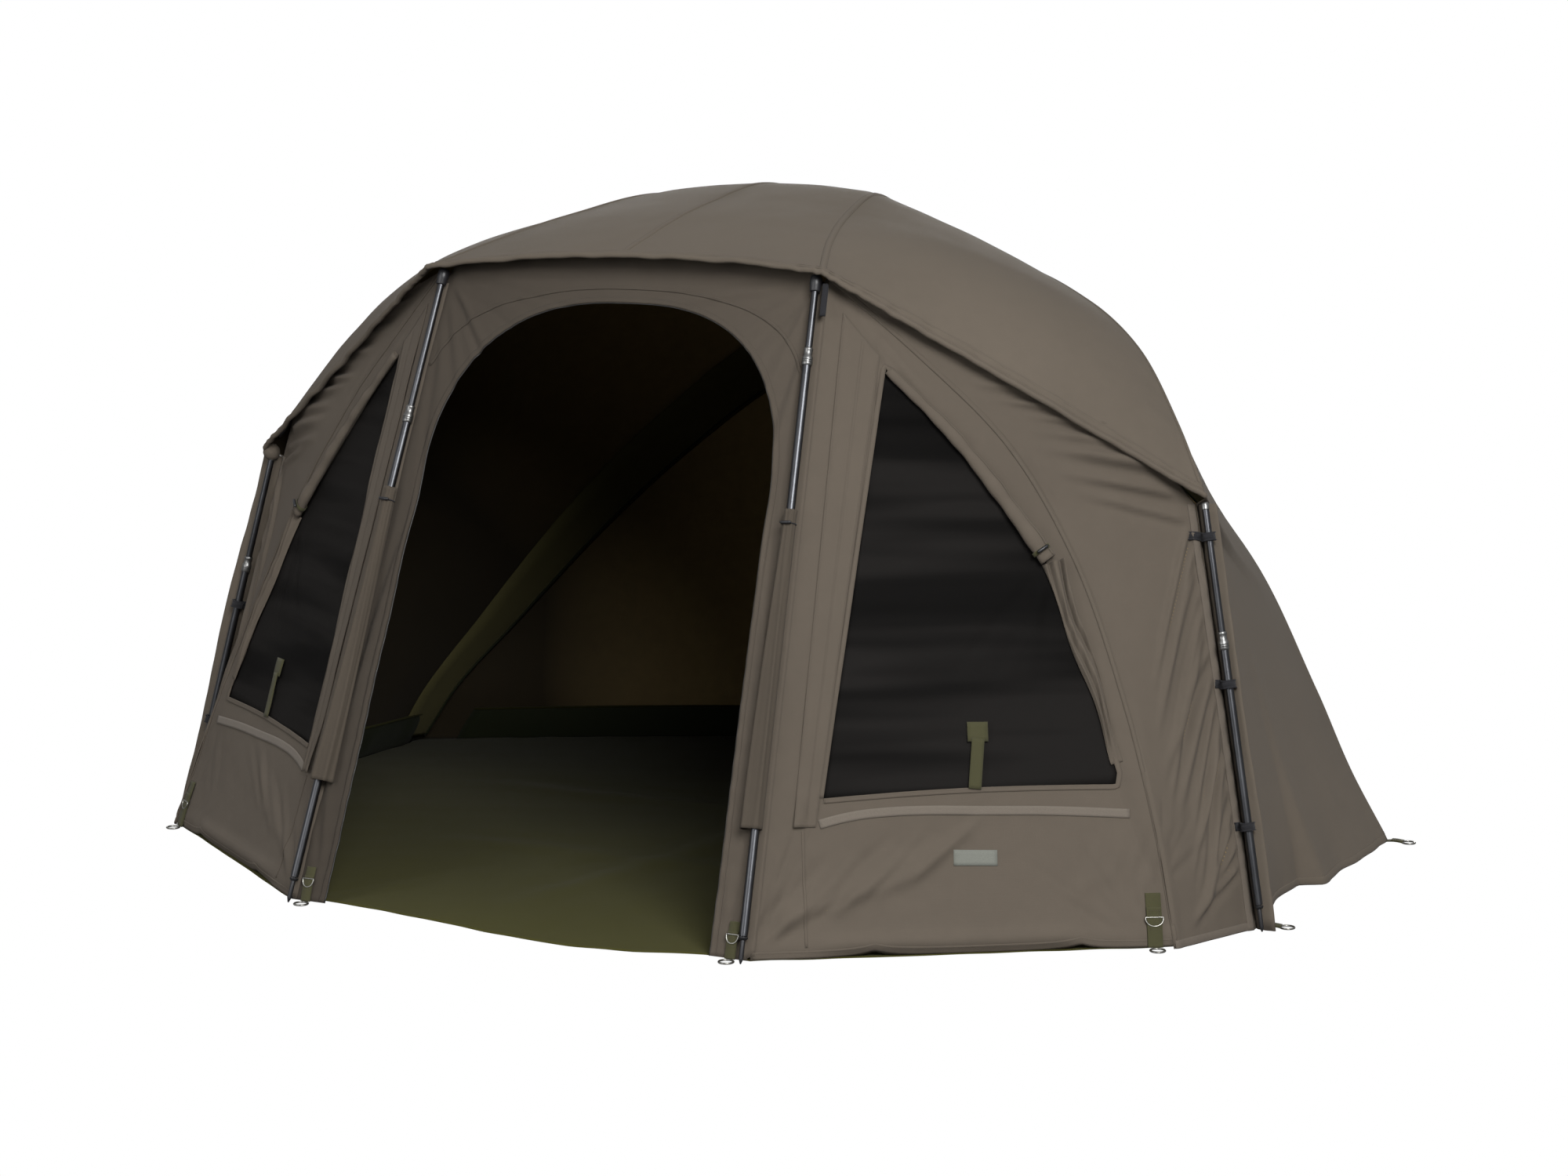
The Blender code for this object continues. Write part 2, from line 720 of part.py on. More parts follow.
def box_cutter(name, start, end, up, height, thickness):
    """A flat bar from start to end, as high as given along up."""
    along = (end - start).normalized()
    side = along.cross(up).normalized()
    top = side.cross(along)
    bm = bmesh.new()
    bmesh.ops.create_cube(bm, size=1.0)
    scale = Matrix.Diagonal(((end - start).length, thickness, height, 1.0))
    turn = Matrix((along, side, top)).transposed().to_4x4()
    bmesh.ops.transform(bm, matrix=Matrix.Translation((start + end) / 2) @ turn @ scale, verts=bm.verts)
    bmesh.ops.recalc_face_normals(bm, faces=bm.faces)
    return hidden(add_mesh(name, bm, WEBBING, CUTTERS))


def hem_outline():
    """The ground line of the right half, from the middle of the doorway round to the rear middle."""
    hem = placed(((0.0, -0.655, 0.0), CORNER_LINE[0], ARC_SEAM[-1], SIDE_SEAM[1]))
    rear = rear_skin()[-1]
    return hem + rear[: PANEL_COLUMNS - 1 : -1]


def inset(outline, distance):
    """A closed outline on the ground moved inwards by a distance."""
    result = []
    for before, point, after in zip([outline[-1], *outline], outline, [*outline[1:], outline[0]]):
        normals = []
        for start, end in ((before, point), (point, after)):
            run = (end - start).normalized()
            normals.append(Vector((-run.y, run.x, 0.0)))
        mean = (normals[0] + normals[1]).normalized()
        result.append(point + mean * (distance / mean.dot(normals[0])))
    return result


def build_groundsheet():
    right = hem_outline()
    outline = inset(right + list(reversed(mirrored(right[1:-1], -1))), GROUNDSHEET_INSET)
    matrix = Matrix.Translation((0.0, 0.0, GROUNDSHEET_THICKNESS / 2))
    flat_panel("groundsheet", matrix, [outline], GROUNDSHEET, GROUNDSHEET_THICKNESS)


def build_wraps():
    """The fabric wrap round each front pole: a flattened tube that hangs wider towards its foot."""
    for word, side in SIDES.items():
        foot, top = mirrored(placed(FRONT_POLE), side)
        axis = (top - foot).normalized()
        across = Vector((side, 0.0, 0.0))
        across = (across - axis * across.dot(axis)).normalized()
        forward = axis.cross(across)
        bm = bmesh.new()
        rings = []
        for height, half_width, half_depth in zip(WRAP_HEIGHTS, WRAP_HALF_WIDTHS, WRAP_HALF_DEPTHS):
            for grow in (0.0, WRAP_THICKNESS):
                # The extra width hangs on the side towards the doorway.
                centre = foot + axis * (height / axis.z) - across * (half_width - WRAP_HALF_WIDTHS[1])
                ring = []
                for step in range(ROUND_STEPS):
                    angle = 2 * math.pi * step / ROUND_STEPS
                    offset = across * (half_width + grow) * math.cos(angle)
                    offset += forward * (half_depth + grow) * math.sin(angle)
                    ring.append(bm.verts.new(centre + offset))
                rings.append(ring)
        low_in, low_out, high_in, high_out = rings
        for lower, upper in ((low_out, high_out), (high_out, high_in), (high_in, low_in), (low_in, low_out)):
            for a, b, c, d in zip(lower, lower[1:] + lower[:1], upper[1:] + upper[:1], upper):
                bm.faces.new((a, b, c, d))
        bmesh.ops.recalc_face_normals(bm, faces=bm.faces)
        add_mesh(f"pole_wrap_{word}", bm, PANEL)


def ring_cutter(name, centre):
    """A wire ring that lies flat on the ground."""
    bpy.ops.mesh.primitive_torus_add(
        major_segments=14,
        minor_segments=6,
        major_radius=RING_RADIUS,
        minor_radius=RING_WIRE,
        location=centre,
    )
    ring = bpy.context.object
    ring.name = name
    for owner in list(ring.users_collection):
        owner.objects.unlink(ring)
    CUTTERS.objects.link(ring)
    return hidden(ring)


def peg_point(name, start, end, flat_normal, ring_reach):
    """A webbing strap from start to end, joined to a ring on the ground that lies past its end.

    ring_reach is the level vector from the strap's end to the middle of the ring.
    """
    bm = bmesh.new()
    along = (end - start).normalized()
    side = along.cross(flat_normal).normalized()
    bmesh.ops.create_cube(bm, size=1.0)
    scale = Matrix.Diagonal(((end - start).length, STRAP_WIDTH, STRAP_THICKNESS, 1.0))
    turn = Matrix((along, side, along.cross(side))).transposed().to_4x4()
    bmesh.ops.transform(bm, matrix=Matrix.Translation((start + end) / 2) @ turn @ scale, verts=bm.verts)
    bmesh.ops.recalc_face_normals(bm, faces=bm.faces)
    strap = add_mesh(name, bm, WEBBING)
    centre = end + ring_reach
    centre.z = RING_WIRE
    join = strap.modifiers.new("ring", "BOOLEAN")
    join.operation = "UNION"
    join.object = ring_cutter(f"{name}_ring", centre)


def wall_peg(name, top, bottom, matrix):
    """A strap down the outside of a flat wall, with its ring in front of the wall's foot."""
    normal = matrix.to_3x3() @ Vector((0.0, 0.0, 1.0))
    clear = normal * (CLOTH / 2 + STRAP_THICKNESS / 2 + GAP)
    level = Vector((normal.x, normal.y, 0.0)).normalized()
    reach = level * (RING_RADIUS + RING_WIRE - STRAP_THICKNESS / 2)
    peg_point(name, on_plane(top, matrix) + clear, on_plane(bottom, matrix) + clear, normal, reach)


def ground_peg(name, start, heading, length):
    """A strap flat on the ground, with its ring past its end."""
    run = heading.normalized()
    peg_point(name, start, start + run * length, Vector((0.0, 0.0, 1.0)), run * (RING_RADIUS - RING_WIRE))


def build_peg_points():
    """The straps and rings by which the shelter is pegged down."""
    for word, side in SIDES.items():
        top, bottom = (on_door(side * FRONT_STRAP_X, z) for z in FRONT_STRAP_HEIGHTS)
        wall_peg(f"peg_front_{word}", top, bottom, door_plane())
        top, bottom = mirrored(placed(MIDDLE_STRAP), side)
        wall_peg(f"peg_middle_{word}", top, bottom, window_plane(side))
        for place, (spot, heading, length) in GROUND_STRAPS.items():
            start = at(side * spot[0], spot[1], STRAP_THICKNESS / 2)
            ground_peg(f"peg_{place}_{word}", start, Vector((side * heading[0], heading[1], 0.0)), length)
    start = placed(REAR_SPINE)[-1] + Vector((0.0, CLOTH + GAP, STRAP_THICKNESS / 2))
    ground_peg("peg_rear", start, Vector((0.0, 1.0, 0.0)), REAR_STRAP_LENGTH)


def on_plane(point, matrix):
    """The nearest point of a plane."""
    local = matrix.inverted() @ point
    return matrix @ Vector((local.x, local.y, 0.0))


clear_scene()
PARTS = new_collection("fishing_umbrella")
CUTTERS = new_collection("cutters")
CANOPY = new_material("canopy_fabric", (0.140, 0.118, 0.094), 0.85)
PANEL = new_material("panel_fabric", (0.150, 0.127, 0.102), 0.85)
MESH = new_material("window_mesh", (0.020, 0.019, 0.018), 0.9)
GROUNDSHEET = new_material("groundsheet", (0.045, 0.048, 0.018), 0.7)
POLE_METAL = new_material("pole_metal", (0.16, 0.17, 0.19), 0.35, 0.9)
RIB_STEEL = new_material("rib_steel", (0.05, 0.05, 0.05), 0.4, 0.8)
BLACK = new_material("black_plastic", (0.02, 0.02, 0.02), 0.5)
WEBBING = new_material("olive_webbing", (0.10, 0.11, 0.03), 0.9)

build_canopy()
build_ribs()
build_hub()
build_poles()
build_door_wall()
build_window_walls()
build_side_panels()
build_groundsheet()
build_wraps()
build_peg_points()
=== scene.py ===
"""Looks of the fishing umbrella shelter: sewn cloth, window mesh, webbing, poles, ribs and ground fittings.

Units are metres and +Z is up. Points are written from the line between the two side pole feet, and
at() moves them to the frame's origin, as the construction does. Cloth is made as grids of points,
each with its wrinkles and a real thickness.
"""

import math

import bmesh
import bpy
import numpy as np
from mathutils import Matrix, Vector


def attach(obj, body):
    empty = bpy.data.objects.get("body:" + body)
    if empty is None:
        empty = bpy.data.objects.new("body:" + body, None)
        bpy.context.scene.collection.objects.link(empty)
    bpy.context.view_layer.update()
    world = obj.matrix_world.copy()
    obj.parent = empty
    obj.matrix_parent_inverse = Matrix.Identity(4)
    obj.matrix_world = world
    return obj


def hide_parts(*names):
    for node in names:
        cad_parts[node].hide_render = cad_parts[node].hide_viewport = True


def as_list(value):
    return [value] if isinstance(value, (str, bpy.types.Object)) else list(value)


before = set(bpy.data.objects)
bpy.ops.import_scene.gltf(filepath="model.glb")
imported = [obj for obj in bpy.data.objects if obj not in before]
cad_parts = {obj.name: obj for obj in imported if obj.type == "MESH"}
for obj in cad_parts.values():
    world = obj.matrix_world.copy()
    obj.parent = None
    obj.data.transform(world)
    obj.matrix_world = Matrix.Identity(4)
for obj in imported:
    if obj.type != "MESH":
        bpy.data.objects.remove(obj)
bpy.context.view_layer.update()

# Driving points of the construction, right half
FOOTPRINT_MIDDLE = 0.4475
CLOTH = 0.003
SIDES = {"right": 1, "left": -1}
HUB = (0.0, 1.20, 1.12)
HUB_AXIS = (0.0, 0.53, 0.85)
HUB_RING = 0.036
FRONT_RIB = (
    (0.100, 0.930, 1.290),
    (0.190, 0.680, 1.378),
    (0.265, 0.400, 1.410),
    (0.332, 0.130, 1.365),
    (0.390, -0.060, 1.317),
    (0.458, -0.228, 1.262),
)
SIDE_RIB = (
    (0.200, 1.020, 1.205),
    (0.454, 0.752, 1.249),
    (0.757, 0.433, 1.186),
    (0.925, 0.282, 1.096),
    (1.048, 0.171, 0.959),
    (1.134, 0.094, 0.829),
)
REAR_RIB = (
    (0.220, 1.240, 1.040),
    (0.450, 1.250, 0.925),
    (0.650, 1.225, 0.775),
    (0.869, 1.175, 0.573),
    (1.078, 1.024, 0.299),
    (1.192, 0.925, 0.142),
    (1.285, 0.902, 0.0),
)
REAR_SPINE = ((0.0, 1.300, 0.990), (0.0, 1.390, 0.700), (0.0, 1.465, 0.350), (0.0, 1.510, 0.0))
CROWN_SWELL = 0.027
CROWN_RISE = 0.002
FRONT_SIDE_SWELL = 0.064
FRONT_SIDE_SWELL_POWER = 5.0
SIDE_SWELL = -0.012
REAR_ROUNDNESS = 1.5
FRONT_POLE = ((0.517, -0.676, 0.0), (0.43402, -0.20138, 1.2589))
SIDE_POLE = ((1.300, 0.0, 0.0), (1.1263, 0.1117, 0.8185))
COLLAR_HEIGHT = {"front_right": 1.120, "front_left": 0.980, "side_right": 0.570, "side_left": 0.580}
HEAD_RADIUS = 0.0120
HEAD_LENGTH = 0.034
TUBE_OVERLAP = 0.30
FOOT_LENGTH = 0.050
FOOT_RADIUS = 0.0045
DOOR_SETBACK = 0.0170
DOOR_HALF_WIDTH = 0.442
DOOR_SHOULDER_HALF_WIDTH = 0.405
DOOR_SHOULDER_HEIGHT = 0.800
DOOR_HEIGHT = 1.203
DOOR_ARCH_POWER = 2.6
WALL_FOOT = 0.0105
CORNER_LINE = ((0.5265, -0.655, 0.0), (0.4445, -0.1825, 1.260))
ARC_SEAM = (
    (0.4530, -0.1790, 1.2570),
    (0.632, -0.122, 1.098),
    (0.796, -0.076, 0.929),
    (0.934, -0.068, 0.713),
    (1.055, -0.100, 0.442),
    (1.138, -0.142, 0.212),
    (1.198, -0.186, 0.0),
)
WINDOW_ARC = (
    (0.570, -0.172, 1.080),
    (0.722, -0.134, 0.920),
    (0.880, -0.106, 0.716),
    (0.960, -0.118, 0.540),
    (1.052, -0.150, 0.318),
)
WINDOW_FOOT = ((1.050, -0.155, 0.296), (0.600, -0.496, 0.291))
FACING = (
    (0.485, -0.188, 1.186),
    (0.558, -0.173, 1.103),
    (0.596, -0.522, 0.240),
    (0.561, -0.545, 0.240),
)
SIDE_SEAM = ((1.102, 0.126, 0.812), (1.276, 0.016, 0.0))
CANOPY_LIP = 0.015
WRAP_HEIGHTS = (0.238, 0.816)
WRAP_HALF_WIDTHS = (0.0215, 0.0122)
WRAP_HALF_DEPTHS = (0.0139, 0.0101)
FLAP_ROLL = ((0.575, -0.172, 1.074), (0.722, -0.133, 0.923), (0.886, -0.107, 0.713))
CLIP_HEIGHTS = (0.200, 0.470)
RING_RADIUS = 0.014
RING_WIRE = 0.0025
STRAP_WIDTH = 0.022
FRONT_STRAP_X = 0.486
FRONT_STRAP_HEIGHTS = (0.075, 0.009)
MIDDLE_STRAP = ((1.146, -0.191, 0.104), (1.160, -0.213, 0.003))

# Fineness and thickness of the modelled cloth
FINE = 5  # rows of the canopy for each row of the construction
RIB_STEPS = 16 * FINE
JUMP_STEPS = FINE
WALL_STEPS = 8 * FINE
SHEET_THICKNESS = 0.0012
CANOPY_STAND_OUT = 0.0027  # outer face of the canopy over the ribs' line


def unit(v):
    v = np.asarray(v, float)
    return v / np.linalg.norm(v, axis=-1, keepdims=True)


def at(x, y, z):
    """A point of the side pole line's frame in the shared frame."""
    return np.array((x, y - FOOTPRINT_MIDDLE, z))


INSIDE = at(0.0, 0.45, 0.45)


def placed(points):
    return np.array([at(*p) for p in points])


def mirrored(points, side):
    return np.asarray(points, float) * (side, 1, 1)


def resampled(points, count):
    """The same line with this many points, evenly spaced."""
    points = np.asarray(points, float)
    steps = np.linalg.norm(np.diff(points, axis=0), axis=1)
    lengths = np.concatenate([[0.0], np.cumsum(steps)])
    wanted = np.linspace(0.0, lengths[-1], count)
    return np.stack([np.interp(wanted, lengths, points[:, k]) for k in range(points.shape[1])], 1)


def smooth_curve(points, count):
    """Evenly spaced points on a smooth curve through the given ones."""
    points = np.asarray(points, float)
    ends = np.vstack([2 * points[0] - points[1], points, 2 * points[-1] - points[-2]])
    t = np.arange(24)[:, None] / 24
    fine = []
    for before, start, end, after in zip(ends, ends[1:], ends[2:], ends[3:]):
        chord = np.linalg.norm(end - start)
        lean_in = (end - before) / (chord + np.linalg.norm(start - before)) * chord
        lean_out = (after - start) / (np.linalg.norm(after - end) + chord) * chord
        fine.append(
            start * (2 * t**3 - 3 * t**2 + 1)
            + lean_in * (t**3 - 2 * t**2 + t)
            + end * (3 * t**2 - 2 * t**3)
            + lean_out * (t**3 - t**2)
        )
    fine.append(points[-1:])
    return resampled(np.vstack(fine), count)


def line(start, end, count):
    return np.linspace(start, end, count)


def blended(first, last, columns):
    """Rows of points that run straight from one line to another."""
    u = np.linspace(0, 1, columns + 1)[None, :, None]
    return first[:, None] * (1 - u) + last[:, None] * u


def beside(path):
    """Unit directions to the left of a flat path, one at each of its points."""
    tangent = unit(np.gradient(path, axis=0))
    return np.stack([-tangent[:, 1], tangent[:, 0]], -1)


def length_along(path):
    return np.linalg.norm(np.diff(path, axis=0), axis=1).sum()


def smooth_step(x):
    x = np.clip(x, 0.0, 1.0)
    return x * x * (3 - 2 * x)


def hump(x, middle, reach):
    """1 at the middle, fading to 0 on both sides of it."""
    return np.exp(-(((x - middle) / reach) ** 2))


# Wrinkles

def ripple(points, wavelength, seed):
    """Smooth unevenness between about -1 and 1, from a few waves in directions drawn with a seed."""
    waves = 7
    random = np.random.default_rng(seed)
    total = np.zeros(points.shape[:-1])
    for _ in range(waves):
        direction = unit(random.normal(size=points.shape[-1]))
        length = wavelength * random.uniform(0.7, 1.5)
        total += np.sin(points @ direction * (2 * math.pi / length) + random.uniform(0, 2 * math.pi))
    return total / math.sqrt(waves) * 0.8


def crease_height(flat, lines):
    """Height of creases on flat points; each line is (start, end, width, depth)."""
    height = np.zeros(flat.shape[:-1])
    for start, end, width, depth in lines:
        start, end = np.asarray(start, float), np.asarray(end, float)
        length = np.linalg.norm(end - start)
        along = (end - start) / length
        rel = flat - start
        share = rel @ along / length
        off = rel @ np.array((-along[1], along[0])) / width
        fade = smooth_step(share * 6) * smooth_step((1 - share) * 1.8)
        height += depth * fade * (np.exp(-off * off) - 0.55 * np.exp(-((off - 1.7) ** 2)))
    return height


def fan(centre, angles, lengths, width, depth, count, seed, start=0.03):
    """Creases that spread from a point, between two angles in degrees from the flat X axis."""
    random = np.random.default_rng(seed)
    lines = []
    for k in range(count):
        angle = math.radians(angles[0] + (angles[1] - angles[0]) * (k + random.uniform(0.2, 0.8)) / count)
        way = np.array((math.cos(angle), math.sin(angle)))
        reach = random.uniform(*lengths)
        wide = width * random.uniform(0.7, 1.4)
        deep = depth * random.uniform(0.5, 1.2) * random.choice((-1, 1))
        lines.append((np.asarray(centre) + way * start, np.asarray(centre) + way * reach, wide, deep))
    return lines


def gathers(along, wavelength, random):
    """Irregular waves along a seam, from three drawn wavelengths."""
    wave = sum(
        np.sin(along * (2 * math.pi / (wavelength * random.uniform(0.7, 1.5))) + random.uniform(0, 6))
        for _ in range(3)
    )
    return wave / 2


# Making meshes

def grid_faces(rows, columns, first=0, wrap=False):
    """Quads of a grid of points; with wrap, its last column joins its first."""
    across = columns if wrap else columns - 1
    i = np.arange(rows - 1)[:, None] * columns
    j = np.arange(across)[None, :]
    k = (j + 1) % columns
    return np.stack([i + j, i + k, i + k + columns, i + j + columns], -1).reshape(-1, 4) + first


def volume_of(points, faces):
    a, b, c, d = (points[faces[:, k]] for k in range(4))
    return (np.einsum("ij,ij->i", a, np.cross(b, c)) + np.einsum("ij,ij->i", a, np.cross(c, d))).sum() / 6


def add_mesh(name, points, faces, materials, uv=None, slots=None):
    """An object of these points and faces, with the cloth's own flat coordinates where given."""
    mesh = bpy.data.meshes.new(name)
    mesh.from_pydata(np.asarray(points).tolist(), [], [list(map(int, f)) for f in faces])
    for material in materials if isinstance(materials, (list, tuple)) else [materials]:
        mesh.materials.append(material)
    if uv is not None:
        layer = mesh.uv_layers.new(name="cut")
        corners = np.concatenate([np.asarray(f) for f in faces])
        layer.data.foreach_set("uv", np.asarray(uv, np.float32)[corners].ravel())
    if slots is not None:
        mesh.polygons.foreach_set("material_index", np.asarray(slots, np.int32))
    mesh.shade_smooth()
    obj = bpy.data.objects.new(name, mesh)
    bpy.context.scene.collection.objects.link(obj)
    return obj


def lengths_of(grid):
    """Flat coordinates of a grid's points in metres, from its mean spacings."""
    down = np.linalg.norm(np.diff(grid, axis=0), axis=-1).mean(1)
    across = np.linalg.norm(np.diff(grid, axis=1), axis=-1).mean(0)
    v = np.concatenate([[0.0], np.cumsum(down)])
    u = np.concatenate([[0.0], np.cumsum(across)])
    return np.stack(np.broadcast_arrays(u[None, :], v[:, None]), -1)


def normals_of(grid, wrap=False):
    """Unit normals of a grid, all on one side of it, away from the inside on the whole."""
    down = np.gradient(grid, axis=0)
    if wrap:
        across = np.roll(grid, -1, axis=1) - np.roll(grid, 1, axis=1)
    else:
        across = np.gradient(grid, axis=1)
    normal = unit(np.cross(across, down) + 1e-12)
    away = np.einsum("ijk,ijk->ij", normal, grid - INSIDE).sum()
    return normal if away > 0 else -normal


def rim_of(rows, columns):
    """Indices round the edge of a grid, in order."""
    index = np.arange(rows * columns).reshape(rows, columns)
    return np.concatenate([index[0], index[1:-1, -1], index[-1, ::-1], index[-2:0:-1, 0]])


def shell(name, outer, materials, thickness=SHEET_THICKNESS, inner=None, wrap=False, normals=None):
    """A closed sheet from the grid of its outer face; its inner face takes the second material."""
    rows, columns = outer.shape[:2]
    if inner is None:
        inner = outer - (normals_of(outer, wrap) if normals is None else normals) * thickness
    count = rows * columns
    points = np.vstack([outer.reshape(-1, 3), inner.reshape(-1, 3)])
    front = grid_faces(rows, columns, 0, wrap)
    back = grid_faces(rows, columns, count, wrap)[:, ::-1]
    if wrap:
        rims = [np.arange(columns), np.arange(columns)[::-1] + (rows - 1) * columns]
    else:
        rims = [rim_of(rows, columns)]
    sides = []
    for edge in rims:
        following = np.roll(edge, -1)
        sides.append(np.stack([following, edge, edge + count, following + count], -1))
    faces = np.vstack([front, back, *sides])
    if volume_of(points, faces) < 0:
        faces = faces[:, ::-1]
    flat = lengths_of(outer).reshape(-1, 2)
    several = isinstance(materials, (list, tuple)) and len(materials) > 1
    slots = np.zeros(len(faces), int)
    if several:
        slots[len(front) : len(front) + len(back)] = 1
    return add_mesh(name, points, faces, materials, np.vstack([flat, flat]), slots=slots)


def frames_along(path, towards):
    """At each point of a path: its direction, a side direction and an up direction near towards."""
    path = np.asarray(path, float)
    tangent = unit(np.gradient(path, axis=0))
    towards = np.broadcast_to(np.asarray(towards, float), path.shape)
    side = unit(np.cross(towards, tangent))
    up = np.cross(tangent, side)
    return tangent, side, up


def swept(name, path, profile, towards, materials, scale=None):
    """A closed profile of (side, up) pairs carried along a path, with flat ends."""
    _, side, up = frames_along(path, towards)
    scale = np.ones(len(path)) if scale is None else np.asarray(scale, float)
    profile = np.asarray(profile, float)[None] * scale[:, None, None]
    grid = np.asarray(path)[:, None] + side[:, None] * profile[..., :1] + up[:, None] * profile[..., 1:]
    return capped(name, grid, materials)


def capped(name, grid, materials):
    """A closed mesh from rings of points, each end filled with one face."""
    rows, columns = grid.shape[:2]
    points = grid.reshape(-1, 3)
    faces = grid_faces(rows, columns, 0, wrap=True)
    first = list(range(columns))
    last = list(range((rows - 1) * columns, rows * columns))
    if volume_of(points - points.mean(0), faces) < 0:
        faces = faces[:, ::-1]
        ends = [first, last[::-1]]
    else:
        ends = [first[::-1], last]
    return add_mesh(name, points, [*faces.tolist(), *ends], materials, lengths_of(grid).reshape(-1, 2))


def circle(radius, steps=12):
    angle = np.arange(steps) * 2 * math.pi / steps
    return radius * np.stack([np.cos(angle), np.sin(angle)], 1)


def tube(name, path, radius, materials, steps=12, towards=(0.1, 0.2, 1.0), scale=None):
    return swept(name, path, circle(radius, steps), towards, materials, scale=scale)


def band_profile(width, thickness):
    """A flat strap's section with softened edges."""
    w, t = width / 2, thickness / 2
    c = t / 2
    lower = [(-w, -t + c), (-w + c, -t), (w - c, -t), (w, -t + c)]
    return [*lower, *((-x, -y) for x, y in lower)]


TURNED_STEPS = 40
SHARP_ANGLE = math.radians(40)


def turned(name, profile, start, axis, materials):
    """A profile of (radius, height) pairs turned about an axis."""
    axis = unit(axis)
    side = unit(np.cross(axis, (0.3, 0.9, 0.1)))
    ahead = np.cross(axis, side)
    angle = np.arange(TURNED_STEPS) * 2 * math.pi / TURNED_STEPS
    around = np.cos(angle)[:, None] * side + np.sin(angle)[:, None] * ahead
    grid = np.array([np.asarray(start) + axis * h + around * max(r, 1e-5) for r, h in profile])
    obj = capped(name, grid, materials)
    obj.data.set_sharp_from_angle(angle=SHARP_ANGLE)
    return obj


def joined(name, objects):
    """Several objects as one piece, with its material slots merged."""
    bm = bmesh.new()
    materials = []
    for obj in objects:
        materials.extend(m for m in obj.data.materials if m not in materials)
        slots = [materials.index(m) for m in obj.data.materials]
        first = len(bm.faces)
        bm.from_mesh(obj.data)
        bm.faces.ensure_lookup_table()
        for face in bm.faces[first:]:
            face.material_index = slots[face.material_index]
    mesh = bpy.data.meshes.new(name)
    bm.to_mesh(mesh)
    bm.free()
    for material in materials:
        mesh.materials.append(material)
    for obj in objects:
        bpy.data.objects.remove(obj)
    result = bpy.data.objects.new(name, mesh)
    bpy.context.scene.collection.objects.link(result)
    return result


# One stitch: its points as shares of its length, width and width again, and its faces
STITCH_WIDTH = 0.0007
STITCH_POINTS = ((-0.5, 0, 0), (0, -0.5, 0), (0, 0, 0.6), (0, 0.5, 0), (0.5, 0, 0), (0, 0, -0.6))
STITCH_FACES = ((0, 1, 2), (0, 2, 3), (1, 4, 2), (2, 4, 3), (1, 0, 5), (0, 3, 5), (4, 1, 5), (3, 4, 5))


def stitches(name, paths, material, pitch=0.0045, length=0.0030):
    """Rows of short thread stitches, each path given with the directions out of the cloth."""
    points, faces = [], []
    shape = np.array(STITCH_POINTS) * (length, STITCH_WIDTH, STITCH_WIDTH)
    for path, outs in paths:
        path = np.asarray(path, float)
        outs = np.broadcast_to(np.asarray(outs, float), path.shape)
        count = max(2, int(length_along(path) / pitch))
        both = resampled(np.hstack([path, outs]), count)
        spots = both[:, :3]
        tangent, side, up = frames_along(spots, unit(both[:, 3:]))
        for spot, t, s, u in zip(spots, tangent, side, up):
            first = len(points)
            points.extend(spot + t * a + s * b + u * c for a, b, c in shape)
            faces.extend([first + i for i in triangle] for triangle in STITCH_FACES)
    return add_mesh(name, points, faces, material)


def shown(obj, body="shelter", replaces=()):
    """Makes a piece ride on a body and stand for the nodes it replaces."""
    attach(obj, body)
    if replaces:
        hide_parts(*replaces)
    return obj


# Materials

class Nodes:
    """Short ways to build a material's node tree."""

    def __init__(self, name):
        self.material = bpy.data.materials.new(name)
        self.material.use_nodes = True
        self.tree = self.material.node_tree
        self.shader = self.tree.nodes["Principled BSDF"]

    def add(self, kind, **values):
        node = self.tree.nodes.new(kind)
        for key, value in values.items():
            if key in node.inputs:
                node.inputs[key].default_value = value
            else:
                setattr(node, key, value)
        return node

    def link(self, output, node, name):
        self.tree.links.new(output, node.inputs[name])

    def maths(self, operation, first, second=None, third=None):
        node = self.add("ShaderNodeMath", operation=operation)
        for slot, value in enumerate((first, second, third)):
            if value is None:
                continue
            if isinstance(value, (int, float)):
                node.inputs[slot].default_value = value
            else:
                self.tree.links.new(value, node.inputs[slot])
        return node.outputs[0]

    def noise(self, scale, detail=3.0, roughness=0.55, coordinates=None):
        node = self.add("ShaderNodeTexNoise", Scale=scale, Detail=detail, Roughness=roughness)
        if coordinates is not None:
            self.link(coordinates, node, "Vector")
        return node.outputs["Fac"]

    def ramp(self, value, stops):
        node = self.add("ShaderNodeValToRGB")
        self.link(value, node, "Fac")
        elements = node.color_ramp.elements
        while len(elements) < len(stops):
            elements.new(0.5)
        for element, (position, colour) in zip(elements, stops):
            element.position = position
            element.color = (*colour, 1.0)
        return node.outputs["Color"]

    def tint(self, value, colour, *stops):
        """The base colour, scaled by a factor at each position of a value; returns the mixed colour."""
        mixed = self.ramp(value, [(position, scaled(colour, factor)) for position, factor in stops])
        self.link(mixed, self.shader, "Base Color")
        return mixed

    def bump(self, height, strength, distance, after=None):
        node = self.add("ShaderNodeBump", Strength=strength, Distance=distance)
        self.link(height, node, "Height")
        if after is not None:
            self.link(after, node, "Normal")
        return node.outputs["Normal"]

    def place(self):
        return self.add("ShaderNodeTexCoord").outputs["Object"]

    def cut(self):
        """The cloth's own flat coordinates, in metres."""
        return self.add("ShaderNodeUVMap", uv_map="cut").outputs["UV"]


def scaled(colour, factor):
    return tuple(min(1.0, c * factor) for c in colour)


